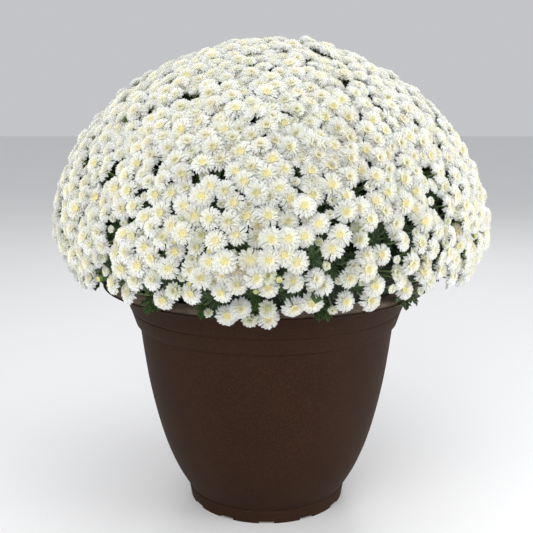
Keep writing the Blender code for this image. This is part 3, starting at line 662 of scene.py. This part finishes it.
def bloomTree():
    # One bloom: florets by the golden angle, long and flat outside, then short and upright petals,
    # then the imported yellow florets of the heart, lowest in its middle
    tree, given = newTree("bloom", Collection=["Floret Kinds"], Object=["Stalk"],
                          Int=["Outer Petals", "Inner Petals", "Heart Florets", "Seed"],
                          Float=["Reach", "Short", "Width", "Heart", "Outer Tilt", "Inner Tilt"])
    known = dict(given.items())
    known["index"] = addNode(tree, "GeometryNodeInputIndex")
    for name, work, *parts in bloomSums:
        parts = [known[part] if isinstance(part, str) else part for part in parts]
        if work == "MIX":
            known[name] = addNode(tree, mixNode, dict(zip((0, 2, 3), parts)), data_type="FLOAT")
        elif work == "STRAY":                                # either way by up to the first number
            seed = addNode(tree, mathNode, [given["Seed"], parts[1]], operation="ADD")
            bounds = {2: -parts[0], 3: parts[0], "ID": known["index"], "Seed": seed}
            known[name] = addNode(tree, "FunctionNodeRandomValue", bounds, 1, data_type="FLOAT")
        else:
            known[name] = addNode(tree, mathNode, parts, operation=work)
    place, turns, scale = (
        addNode(tree, "ShaderNodeCombineXYZ", [known[part] for part in parts])
        for parts in (("x", "y", "z"), ("roll", "upward", "turn"), ("long", "wide", "thick")))
    points = addNode(tree, "GeometryNodePoints", {"Count": known["count"], "Position": place})
    kinds = addNode(tree, "GeometryNodeCollectionInfo", {
        "Collection": given["Floret Kinds"], "Separate Children": True, "Reset Children": True})
    rotation = addNode(tree, "FunctionNodeEulerToRotation", [turns])
    copies = addNode(tree, "GeometryNodeInstanceOnPoints", {
        "Points": points, "Instance": kinds, "Pick Instance": True, "Instance Index": known["kind"],
        "Rotation": rotation, "Scale": scale})
    stored = addNode(tree, "GeometryNodeStoreNamedAttribute", {
        "Geometry": copies, "Name": "whorl", "Value": known["whorl"]}, data_type="FLOAT", domain="INSTANCE")
    stalk = addNode(tree, "GeometryNodeObjectInfo", {"Object": given["Stalk"], "As Instance": True},
                    "Geometry")
    joined = addNode(tree, "GeometryNodeJoinGeometry", [stored])
    tree.links.new(stalk, joined.node.inputs[0])
    endTree(tree, joined, [looks["petal"], looks["disc"], looks["stalk"]])
    return tree


def placingTree(name, materials):
    # Copies on points: each point carries the kind, turn, size and tone of its copy
    tree, given = newTree(name, Collection=["Kinds"])
    carried = {label: addNode(tree, "GeometryNodeInputNamedAttribute", {"Name": label}, "Attribute",
                              data_type=kind)
               for label, kind in (("turn", "FLOAT_VECTOR"), ("kind", "INT"), ("size", "FLOAT"))}
    rotation = addNode(tree, "FunctionNodeEulerToRotation", [carried["turn"]])
    kinds = addNode(tree, "GeometryNodeCollectionInfo", {
        "Collection": given["Kinds"], "Separate Children": True, "Reset Children": True})
    copies = addNode(tree, "GeometryNodeInstanceOnPoints", {
        "Points": given["Geometry"], "Instance": kinds, "Pick Instance": True,
        "Instance Index": carried["kind"], "Rotation": rotation, "Scale": carried["size"]})
    endTree(tree, copies, materials)
    return tree


def pointMesh(name, placed):
    # Bare points that carry what the placing tree reads
    mesh = bpy.data.meshes.new(name)
    mesh.from_pydata([tuple(p["place"]) for p in placed], [], [])
    for label in ("size", "tone"):
        mesh.attributes.new(label, "FLOAT", "POINT").data.foreach_set("value", [p[label] for p in placed])
    mesh.attributes.new("kind", "INT", "POINT").data.foreach_set("value", [p["kind"] for p in placed])
    turns = [value for p in placed for value in p["turn"]]
    mesh.attributes.new("turn", "FLOAT_VECTOR", "POINT").data.foreach_set("vector", turns)
    return mesh


def newCollection(name):
    collection = bpy.data.collections.new(name)
    bpy.context.scene.collection.children.link(collection)
    return collection


def emptyCollection(collection):
    for tool in list(collection.objects):
        bpy.data.objects.remove(tool, do_unlink=True)
    bpy.data.collections.remove(collection)


def makeBloomKinds():
    # The collection of every kind of bloom, each a plain mesh, sorted by name
    florets, stalks, kinds = (newCollection(name) for name in ("floretKinds", "stalks", "bloomKinds"))
    newObject("floret0Outer", petalMesh("floret0Outer", **petalForm["outer"]), florets)
    newObject("floret1Inner", petalMesh("floret1Inner", **petalForm["inner"]), florets)
    newObject("floret2Heart", floretMesh("floret2Heart"), florets)
    tree = bloomTree()
    for name, form in bloomForms.items():
        stalk = newObject("stalk" + name, stalkMesh("stalk", form["heart"]), stalks)
        mesh = grow(name, tree, {
            "Floret Kinds": florets, "Stalk": stalk, "Outer Petals": form["outer"],
            "Inner Petals": form["inner"], "Heart Florets": form["florets"], "Reach": form["reach"],
            "Short": form["short"], "Width": form["width"], "Heart": form["heart"],
            "Outer Tilt": math.radians(form["outerTilt"]), "Inner Tilt": math.radians(form["innerTilt"]),
            "Seed": form["seed"]})
        newObject(name, mesh, kinds)
    newObject("bloom5Bud", joinedMesh("bloom5Bud", [budMesh("budBall"), stalkMesh("budStalk", 0)]), kinds)
    for used in (florets, stalks):
        emptyCollection(used)
    return kinds


plantForm = {
    "spacing": 0.0200, "scatter": 0.17, "firstTurn": 0.4, "rise": 0.0040, "fullSizes": (0.93, 1.09),
    "tilt": math.radians(15), "leanShare": 0.7,
    "sunk": 0.005,               # blooms stand this much under the dome, to leave room for their petals
    "swell": 0.0035,             # how far whole sprays stand out or stay back
    "sprayReach": 0.030,         # a bloom stands only where a solid spray is this near
    # common blooms end at one angle in front and at another at the back, below which only a share stands
    "frontEdge": math.radians(102), "commonEdge": math.radians(110), "backEdge": math.radians(118),
    "backShare": 0.5, "backFrom": 58,
    # blooms along the lower edge in front: degrees from the front, height in millimetres, kind
    "hanging": [(-0.9, 288, 0), (-12.1, 293, 1), (-6.0, 288, 3), (-7.7, 305, 2), (5.4, 308, 0),
                (9.5, 313, 1), (17.8, 312, 0), (24.7, 311, 0), (34.1, 318, 1), (40.3, 326, 0),
                (51.5, 322, 2), (24.2, 328, 1), (-0.9, 305, 3), (-11.1, 326, 0), (-18.5, 322, 0),
                (-22.3, 324, 3), (-27.2, 310, 1), (-27.5, 334, 2), (-37.9, 312, 0), (-41.1, 322, 1),
                (-52.5, 318, 0), (-16.5, 297, 4), (15.2, 304, 4), (28.8, 323, 4), (41.1, 309, 4),
                (-45.2, 324, 5)],
    "hangingRise": 0.002, "hangingYoung": -0.4, "hangingApart": 0.0150, "commonApart": 0.0125,
    "crownWeights": (22, 10, 60, 8), "sideWeights": (42, 32, 22, 4),      # of kinds 0 to 3
    # tones: 0 is white, 1 old and beige, -1 young and green
    "tones": (-0.10, 0.12), "warmTones": (0.15, 0.35), "toneWeights": (98, 2), "youngTones": (-0.4, 0.0),
    # fillers between the blooms: white heads low down in the upper dome, younger heads and buds below it
    "fillerSpacing": 0.0090, "fillerScatter": 0.3, "fillerTurn": 1.1, "gapClear": 0.002,
    "crownClear": 0.0078, "crownApart": 0.0098, "fillerClear": 0.0099, "fillerApart": 0.0114, "fillers": 1040,
    "agedShare": 0.12, "agedTones": (0.3, 0.8), "crownEdge": math.radians(62),
    "upperDome": math.radians(76), "budTones": (-0.8, -0.4),
    "upperFillers": {"kinds": (2, 3, 4), "weights": (14, 31, 55), "tones": (-0.12, 0.08),
                     "sizes": (0.90, 1.22), "rises": (-0.0065, -0.0020)},
    "lowerFillers": {"kinds": (2, 3, 4, 5), "weights": (14, 33, 38, 15), "tones": (-0.65, -0.05),
                     "sizes": (0.80, 1.05), "rises": (-0.0055, -0.0015)},
    # gaps where leaves show: degrees from the front, height and half width in millimetres
    "gaps": [(6.1, 394, 7.5), (8.9, 382, 4), (9.3, 362, 10), (14.6, 351, 7), (15.9, 361, 4.5),
             (13.2, 408, 5), (14.1, 394, 4), (17.9, 391, 5), (25.6, 375, 13), (26.2, 342, 9),
             (20.4, 324, 5.5), (21.5, 420, 4.5), (-2.8, 411, 3.5), (1.1, 413, 3), (6.5, 428, 3.5),
             (-3.3, 369, 4), (5.8, 370, 4), (3, 350, 3), (1.8, 319, 5.5), (-3.6, 315, 6), (-13.6, 381, 5),
             (-11.7, 386, 4.5), (-15.5, 368, 3.5), (-9.2, 372, 3), (-6.4, 349, 3), (-14.9, 311, 5),
             (-13.3, 442, 5), (-17.7, 433, 4), (-12, 410, 3), (-48.2, 421, 4), (-41.4, 454, 3),
             (-30.9, 446, 3), (-30.8, 410, 4), (-41.2, 386, 4.5), (-34.6, 391, 5), (-23, 403, 3),
             (-44.3, 432, 3), (-33, 418, 3.5), (44.7, 412, 8.5), (44.7, 395, 8.5), (42.8, 441, 2.5),
             (49.7, 384, 6.5), (54.2, 366, 6.5), (33.4, 388, 8), (43.2, 361, 6), (36.5, 351, 5.5),
             (40.2, 345, 3), (36.3, 324, 4), (-40.8, 344, 6.5), (-23.9, 333, 6), (-31.7, 315, 5),
             (-19.7, 357, 2.5), (84, 346, 10), (101, 385, 8), (118, 366, 9), (136, 340, 7), (154, 352, 10.5),
             (173, 392, 7), (-168, 358, 9), (-146, 335, 8), (-122, 368, 10), (-105, 345, 7), (-84, 382, 8),
             (-62, 352, 5), (95, 424, 5), (130, 410, 4.5), (162, 430, 5), (-150, 412, 4.5), (-114, 432, 5),
             (-95, 324, 6), (110, 320, 6), (-133, 390, 5), (146, 378, 5), (71, 372, 5), (-70, 402, 4.5)],
    "gapEdge": 0.0108,           # from a gap's rim to the middle of the nearest bloom
}


def gapPlaces(form):
    # Angle, azimuth and half width in metres of each gap
    for degrees, height, half in form["gaps"]:
        yield domeAngle(height / perMetre), math.radians(degrees - 90), half / perMetre


def besideGaps(angle, azimuth, form):
    # Moves a bloom that would hide a gap to the gap's rim
    place = domePoint(angle, azimuth)
    for gapAngle, gapAzimuth, half in gapPlaces(form):
        centre = domePoint(gapAngle, gapAzimuth)
        away = place - centre
        if away.length < half + form["gapEdge"]:
            place = centre + away.normalized() * (half + form["gapEdge"])
            angle = domeAngle(place.z)
            azimuth = math.atan2(place.y, place.x - domeForm["middle"])
            place = domePoint(angle, azimuth)
    return angle, azimuth


def swelling(angle, azimuth):
    # Slow waves over the dome, between -1 and 1
    broad = math.sin(3 * azimuth + 1.2) * math.sin(4.3 * angle + 0.5)
    fine = math.sin(8 * azimuth + 2.0) * math.cos(7.1 * angle + 1.0)
    return 0.5 * broad + 0.5 * fine


def commonSites(form, draw, named):
    # Places of the blooms that cover the dome, clear of the named ones and beside the gaps
    placed = []
    for angle, azimuth in goldenSites(form["spacing"], form["scatter"], form["firstTurn"], draw):
        fromFront = abs((math.degrees(azimuth) + 90 + 180) % 360 - 180)
        if fromFront < form["backFrom"]:
            lowest = form["frontEdge"]
        else:
            lowest = form["backEdge"] if draw.random() < form["backShare"] else form["commonEdge"]
        if angle > lowest:
            continue
        angle, azimuth = besideGaps(angle, azimuth, form)
        place = domePoint(angle, azimuth)
        clearOfNamed = all((place - other).length > form["hangingApart"] for other in named)
        if clearOfNamed and all((place - other).length > form["commonApart"] for other in placed):
            placed.append(place)
            yield angle, azimuth


def fillerSites(form, draw, taken):
    # Places between the blooms: the crown of the dome first, and the widest gaps before the narrow ones
    measured = []
    for angle, azimuth in goldenSites(form["fillerSpacing"], form["fillerScatter"], form["fillerTurn"], draw):
        if angle < form["frontEdge"]:
            place = domePoint(angle, azimuth)
            clear = min((place - other).length for other in taken)
            if clear > form["crownClear" if angle < form["crownEdge"] else "fillerClear"]:
                measured.append((clear, angle, azimuth, place))
    measured.sort(key=lambda m: (m[1] > form["crownEdge"], -m[0]))
    gaps = [(domePoint(angle, azimuth), half) for angle, azimuth, half in gapPlaces(form)]
    filled = []
    for _, angle, azimuth, place in measured:
        apart = form["crownApart" if angle < form["crownEdge"] else "fillerApart"]
        near = any((place - other).length < apart for other in filled)
        inGap = any((place - centre).length < half + form["gapClear"] for centre, half in gaps)
        if not near and not inGap and len(filled) < form["fillers"]:
            filled.append(place)
            yield angle, azimuth


def plantBlooms(form):
    # Every bloom of the plant: place, turn, kind, size and tone
    draw = random.Random(17)
    blooms = []

    def add(angle, azimuth, kind, tone, size, rise):
        facing = domeFacing(angle, azimuth)
        lean = Vector((draw.gauss(0, 1), draw.gauss(0, 1), draw.gauss(0, 1)))
        lean = lean * math.tan(form["tilt"]) * form["leanShare"]
        looking = (facing + lean - facing * lean.dot(facing)).normalized()
        spin = Quaternion((0, 0, 1), draw.uniform(0, 2 * math.pi))
        out = rise - form["sunk"] + form["swell"] * swelling(angle, azimuth)
        turn = (looking.to_track_quat("Z", "Y") @ spin).to_euler()
        blooms.append({"place": domePoint(angle, azimuth) + facing * out, "kind": kind, "tone": tone,
                       "size": size, "facing": looking, "turn": turn})

    named = []
    for degrees, height, kind in form["hanging"]:
        angle, azimuth = domeAngle(height / perMetre), math.radians(degrees - 90)
        named.append(domePoint(angle, azimuth))
        tone = form["hangingYoung"] if kind > 2 else 0.0
        add(angle, azimuth, kind, tone, draw.uniform(*form["fullSizes"]), form["hangingRise"])
    taken = list(named)
    for angle, azimuth in commonSites(form, draw, named):
        taken.append(domePoint(angle, azimuth))
        weights = form["crownWeights" if angle < form["crownEdge"] else "sideWeights"]
        kind = draw.choices((0, 1, 2, 3), weights)[0]
        tones = (draw.uniform(*form["tones"]), draw.uniform(*form["warmTones"]))
        tone = draw.choices(tones, form["toneWeights"])[0]
        if kind == 3:
            tone = draw.uniform(*form["youngTones"])
        add(angle, azimuth, kind, tone, draw.uniform(*form["fullSizes"]), draw.uniform(-1, 1) * form["rise"])
    for angle, azimuth in list(fillerSites(form, draw, taken)):
        filler = form["upperFillers" if angle < form["upperDome"] else "lowerFillers"]
        kind = draw.choices(filler["kinds"], filler["weights"])[0]
        tone = draw.uniform(*form["budTones"] if kind == 5 else filler["tones"])
        if angle > form["upperDome"] and draw.random() < form["agedShare"]:
            tone = draw.uniform(*form["agedTones"])
        add(angle, azimuth, kind, tone, draw.uniform(*filler["sizes"]), draw.uniform(*filler["rises"]))
    return blooms


def sortBySpray(blooms, form):
    # Each bloom goes to the nearest solid spray
    names = sorted(n for n in frame["nodes"] if n.startswith("bloom_spray_"))
    trees = {}
    for name in names:
        mesh = frame["nodes"][name].data
        trees[name] = BVHTree.FromPolygons([v.co for v in mesh.vertices], [p.vertices for p in mesh.polygons])
    sprays = {name: [] for name in names}
    for bloom in blooms:
        away = {name: tree.find_nearest(bloom["place"])[3] for name, tree in trees.items()}
        nearest = min(away, key=away.get)
        if away[nearest] < form["sprayReach"]:
            sprays[nearest].append(bloom)
    return sprays


def makeBlooms(blooms, form):
    kinds = makeBloomKinds()
    tree = placingTree("spray", [looks["petal"], looks["disc"], looks["stalk"]])
    sprays = sortBySpray(blooms, form)
    for name, members in sprays.items():
        mesh = grow("blooms_" + name[-2:], tree, {"Kinds": kinds}, pointMesh(name + "Points", members))
        piece = newObject(mesh.name, mesh)
        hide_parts(name)
        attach(piece, "root")
    emptyCollection(kinds)
    return sum(len(members) for members in sprays.values())


plantedBlooms = plantBlooms(plantForm)
print("blooms:", makeBlooms(plantedBlooms, plantForm))


# Foliage: the shaded inside, the leaves that fill it, and those that show below and between the blooms

leafForm = {
    # one side of a lobed and toothed leaf of length 1: place on the midrib, place of the edge, half width
    "shown": [(0.00, 0.00, 0.012), (0.16, 0.16, 0.018), (0.21, 0.20, 0.08), (0.25, 0.30, 0.21),
              (0.29, 0.43, 0.30), (0.33, 0.38, 0.19), (0.37, 0.37, 0.09), (0.42, 0.41, 0.07),
              (0.47, 0.50, 0.18), (0.52, 0.61, 0.30), (0.57, 0.74, 0.36), (0.61, 0.65, 0.22),
              (0.65, 0.65, 0.10), (0.70, 0.69, 0.08), (0.75, 0.81, 0.18), (0.79, 0.89, 0.20),
              (0.84, 0.85, 0.11), (0.91, 0.94, 0.09), (1.00, 1.00, 0.002)],
    "crowd": [(0.00, 0.00, 0.015), (0.20, 0.18, 0.05), (0.28, 0.42, 0.30), (0.38, 0.38, 0.08),
              (0.55, 0.71, 0.36), (0.66, 0.65, 0.09), (0.79, 0.88, 0.20), (1.00, 1.00, 0.002)],
    "fold": 0.34, "droop": 0.20, "ripple": 0.020, "ripples": 15.0,
}
canopyForm = {
    "sides": 64,
    "profile": [(0.002, 0.4250), (0.0600, 0.4080), (0.1080, 0.3560), (0.1250, 0.3000), (0.1380, 0.2740),
                (0.1600, 0.2790), (0.1800, 0.2935), (0.1960, 0.3010), (0.2270, 0.3400), (0.2240, 0.3850),
                (0.1980, 0.4430), (0.1500, 0.4950), (0.0850, 0.5300), (0.002, 0.5420)],
    "leafSpacing": 0.0145, "leafSize": (0.026, 0.036), "leafLift": (12, 50), "lowestLeaf": 0.312,
    "crowding": 12000.0, "leafRoll": 0.4, "leafTone": 0.6,
    "middle": (0.0, 0.0, 0.35), "seed": 4,
}
lipForm = {
    # leaves that hang over the lip: degrees from the front of each cluster
    "clusters": (-36, -17, 16, 50, 88, 121, 150, 179, -152, -118, -80),
    "fan": (-32, -14, 2, 16, 32), "stray": 10, "radius": 0.197, "height": 0.306, "fall": (18, 46),
    "length": (0.024, 0.033), "tones": (0.0, 0.5), "seed": 41,
}
gapForm = {
    "fewest": 2, "perWidth": 360, "stray": 0.4, "depth": (0.020, 0.034), "lean": (0.5, 0.95), "drawnIn": 0.5,
    "offset": 0.45, "turnedOut": 0.3, "length": (0.020, 0.029), "tones": (0.0, 0.5), "seed": 71,
}
leafKeep = {
    # kinds from this one on are closed; places along a leaf; how near and how far behind a bloom they count
    "firstClosed": 4, "tested": (0.55, 0.8, 1.0), "clear": 0.0105, "behind": 0.003,
}


def leafMesh(name, form, rows, columns):
    # Lobed blade along +X, folded along its rib, rippled and drooping to its tip
    points, along, across, rim, faces = [], [], [], [], []
    for middle, edge, half in rows:
        for column in columns:
            x, y = middle + (edge - middle) * abs(column), half * column
            wave = form["ripple"] * abs(column) * math.sin(form["ripples"] * x)
            points.append((x, y, abs(y) * form["fold"] * (1 - abs(y)) - form["droop"] * x * x + wave))
            along.append(x)
            across.append(y)
            rim.append(abs(column))
    for row in range(len(rows) - 1):
        for column in range(len(columns) - 1):
            a = row * len(columns) + column
            faces.append((a, a + len(columns), a + len(columns) + 1, a + 1))
    mesh = buildMesh(name, points, faces, 1, along=along, across=across, rim=rim)
    mesh.shade_smooth()
    return mesh


def leafTree():
    # Leaves over a surface: they stand out of it at random angles
    tree, given = newTree("leaves", Object=["Leaf"], Int=["Seed"], Vector=["Middle"],
                          Float=["Spacing", "Smallest", "Largest", "Least Lift", "Most Lift", "Lowest"])
    place = addNode(tree, "GeometryNodeInputPosition")
    height = addNode(tree, "ShaderNodeSeparateXYZ", [place], "Z")
    high = addNode(tree, mathNode, [height, given["Lowest"]], operation="GREATER_THAN")
    outward = addNode(tree, "ShaderNodeVectorMath", [place, given["Middle"]], operation="SUBTRACT")
    normal = addNode(tree, "GeometryNodeInputNormal")
    facing = addNode(tree, "ShaderNodeVectorMath", [normal, outward], "Value", operation="DOT_PRODUCT")
    outside = addNode(tree, mathNode, [facing, 0.0], operation="GREATER_THAN")
    chosen = addNode(tree, mathNode, [high, outside], operation="MULTIPLY")
    points = addNode(tree, "GeometryNodeDistributePointsOnFaces", {
        "Mesh": given["Geometry"], "Selection": chosen, "Distance Min": given["Spacing"],
        "Density Max": canopyForm["crowding"], "Seed": given["Seed"]}, distribute_method="POISSON")
    roll = canopyForm["leafRoll"]
    lift, roll, spin, size, tone = (
        addNode(tree, "FunctionNodeRandomValue", {2: low, 3: high, "Seed": number}, 1, data_type="FLOAT")
        for number, (low, high) in enumerate((
            (given["Least Lift"], given["Most Lift"]), (-roll, roll), (0.0, 2 * math.pi),
            (given["Smallest"], given["Largest"]), (0.0, canopyForm["leafTone"])), 1))
    raised = addNode(tree, mathNode, [lift, -1.0], operation="MULTIPLY")
    turn = addNode(tree, "ShaderNodeCombineXYZ", [roll, raised, spin])
    local = addNode(tree, "FunctionNodeEulerToRotation", [turn])
    rotation = addNode(tree, "FunctionNodeRotateRotation", [points.node.outputs["Rotation"], local],
                       rotation_space="LOCAL")
    leaf = addNode(tree, "GeometryNodeObjectInfo", {"Object": given["Leaf"], "As Instance": True}, "Geometry")
    copies = addNode(tree, "GeometryNodeInstanceOnPoints", {
        "Points": points, "Instance": leaf, "Rotation": rotation, "Scale": size})
    toned = addNode(tree, "GeometryNodeStoreNamedAttribute", {
        "Geometry": copies, "Name": "tone", "Value": tone}, data_type="FLOAT", domain="INSTANCE")
    joined = addNode(tree, "GeometryNodeJoinGeometry", [toned])
    tree.links.new(given["Geometry"], joined.node.inputs[0])
    endTree(tree, joined, [looks["inner"], looks["leaf"]])
    return tree


def placedLeaf(root, along, normal, length, tone):
    # What the placing tree needs to set a leaf at a root, along a direction, with its face to the normal
    side = normal.cross(along).normalized()
    upward = along.cross(side).normalized()
    turn = Matrix((along, side, upward)).transposed().to_euler()
    return {"place": root, "turn": turn, "kind": 0, "size": length, "tone": tone, "along": along}


def offBlooms(leaves, blooms, form):
    # Only the leaves that don't lie over the face of an open bloom
    opened = [bloom for bloom in blooms if bloom["kind"] < form["firstClosed"]]
    tree = KDTree(len(opened))
    for number, bloom in enumerate(opened):
        tree.insert(bloom["place"], number)
    tree.balance()
    for leaf in leaves:
        over = False
        for share in form["tested"]:
            spot = leaf["place"] + leaf["along"] * leaf["size"] * share
            for place, number, _ in tree.find_range(spot, form["clear"]):
                over = over or (spot - place).dot(opened[number]["facing"]) > -form["behind"]
        if not over:
            yield leaf


def lipLeaves(form):
    draw = random.Random(form["seed"])
    for degrees in form["clusters"]:
        middle = math.radians(degrees - 90)
        root = Vector((form["radius"] * math.cos(middle), form["radius"] * math.sin(middle), form["height"]))
        for spread in form["fan"]:
            turned = middle + math.radians(spread + draw.uniform(-form["stray"], form["stray"]))
            out = Vector((math.cos(turned), math.sin(turned), 0.0))
            fall = math.radians(draw.uniform(*form["fall"]))
            along = out * math.cos(fall) - Vector((0, 0, math.sin(fall)))
            normal = out * math.sin(fall) + Vector((0, 0, math.cos(fall)))
            yield placedLeaf(root, along, normal, draw.uniform(*form["length"]), draw.uniform(*form["tones"]))


def gapLeaves(form):
    draw = random.Random(form["seed"])
    for angle, azimuth, half in gapPlaces(plantForm):
        facing = domeFacing(angle, azimuth)
        across = Vector((-math.sin(azimuth), math.cos(azimuth), 0.0))
        down = across.cross(facing)
        count = form["fewest"] + round(half * form["perWidth"])
        for k in range(count):
            spin = 2 * math.pi * k / count + draw.uniform(-form["stray"], form["stray"])
            curl = down * math.cos(spin) + across * math.sin(spin)
            root = domePoint(angle, azimuth, draw.uniform(*form["depth"]))
            lean = draw.uniform(*form["lean"])
            along = (facing * (1 - lean * form["drawnIn"]) + curl * lean).normalized()
            yield placedLeaf(root - curl * half * form["offset"], along, facing - curl * form["turnedOut"],
                             draw.uniform(*form["length"]), draw.uniform(*form["tones"]))


def makeFoliage(blooms):
    form = canopyForm
    # the canopy shell takes the inner material: painted shade inside the dome, under the crowd of leaves
    canopy = turnedMesh("canopy", form["profile"], form["sides"])
    canopy.transform(Matrix.Translation((domeForm["middle"], 0, 0)))
    leaves, crowdLeaves = newCollection("leafKinds"), newCollection("crowdLeaves")
    simple = newObject("simpleLeaf", leafMesh("simpleLeaf", leafForm, leafForm["crowd"], (-1, 0, 1)),
                       crowdLeaves)
    newObject("shownLeaf", leafMesh("shownLeaf", leafForm, leafForm["shown"], (-1, -0.5, 0, 0.5, 1)), leaves)
    lowest, highest = form["leafLift"]
    crowd = grow("foliage_leaves", leafTree(), {
        "Leaf": simple, "Spacing": form["leafSpacing"], "Smallest": form["leafSize"][0],
        "Largest": form["leafSize"][1], "Least Lift": math.radians(lowest),
        "Most Lift": math.radians(highest), "Lowest": form["lowestLeaf"], "Middle": form["middle"],
        "Seed": form["seed"]}, canopy)
    wanted = list(lipLeaves(lipForm)) + list(gapLeaves(gapForm))
    places = pointMesh("leafPoints", list(offBlooms(wanted, blooms, leafKeep)))
    shown = grow("shownLeaves", placingTree("shownLeaves", [looks["inner"], looks["leaf"]]),
                 {"Kinds": leaves}, places)
    foliage = newObject("foliage_leaves", crowd)
    extra = newObject("shownLeaves", shown)
    with bpy.context.temp_override(active_object=foliage, selected_editable_objects=[foliage, extra]):
        bpy.ops.object.join()
    for used in (leaves, crowdLeaves):
        emptyCollection(used)
    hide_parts("foliage")
    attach(foliage, "root")


makeFoliage(plantedBlooms)
print("foliage ready")


# Studio: pale floor, soft lights and the camera at the photo's angle

studio = {
    "floor": "#e8e8e8", "backdrop": "#cfd0d3", "floorSize": 14.0,
    "cameraDistance": 1.130, "cameraRise": 12, "aim": (0.0, 0.0, 0.299),
    "lens": 60.8, "sensor": 36.0,
    # each light: azimuth from the front to the right, elevation, distance, side length, power
    "lights": {
        "keyLight": (-6, 50, 1.9, 2.2, 12), "fillLight": (-26, 20, 2.0, 1.8, 25),
        "topLight": (0, 80, 1.7, 2.4, 12), "backLight": (165, 40, 2.0, 1.6, 10),
        "sideLight": (72, 6, 1.8, 1.1, 21),
    },
    "worldStrength": 0.88,
}


def polar(azimuth, elevation, distance, centre):
    # Place at this distance, with the azimuth counted from the front
    a, e = math.radians(azimuth - 90), math.radians(elevation)
    way = Vector((math.cos(e) * math.cos(a), math.cos(e) * math.sin(a), math.sin(e)))
    return Vector(centre) + distance * way


def lookAt(thing, target):
    thing.rotation_euler = (Vector(target) - thing.location).to_track_quat("-Z", "Y").to_euler()


def makeStudio(form):
    half = form["floorSize"] / 2
    floor = newObject("floor", buildMesh("floor", [(-half, -half, 0), (half, -half, 0), (half, half, 0),
                                                   (-half, half, 0)], [(0, 1, 2, 3)]))
    material, _, shader = newMaterial("paintedTable", 0.35, 1.5)
    shader.inputs["Base Color"].default_value = linearColour(form["floor"])
    floor.data.materials.append(material)
    for name, (azimuth, elevation, distance, size, power) in form["lights"].items():
        light = bpy.data.lights.new(name, "AREA")
        light.size = size
        light.energy = power
        lamp = newObject(name, light)
        lamp.location = polar(azimuth, elevation, distance, form["aim"])
        lookAt(lamp, form["aim"])
    world = bpy.data.worlds.new("softRoom")
    world.use_nodes = True
    background = world.node_tree.nodes["Background"]
    background.inputs["Color"].default_value = linearColour(form["backdrop"])
    background.inputs["Strength"].default_value = form["worldStrength"]
    bpy.context.scene.world = world
    view = bpy.data.cameras.new("camera")
    view.lens, view.sensor_width = form["lens"], form["sensor"]
    camera = newObject("camera", view)
    camera.location = polar(0, form["cameraRise"], form["cameraDistance"], form["aim"])
    lookAt(camera, form["aim"])
    bpy.context.scene.camera = camera
    bpy.context.scene.view_settings.view_transform = "Standard"


makeStudio(studio)
print("studio ready")
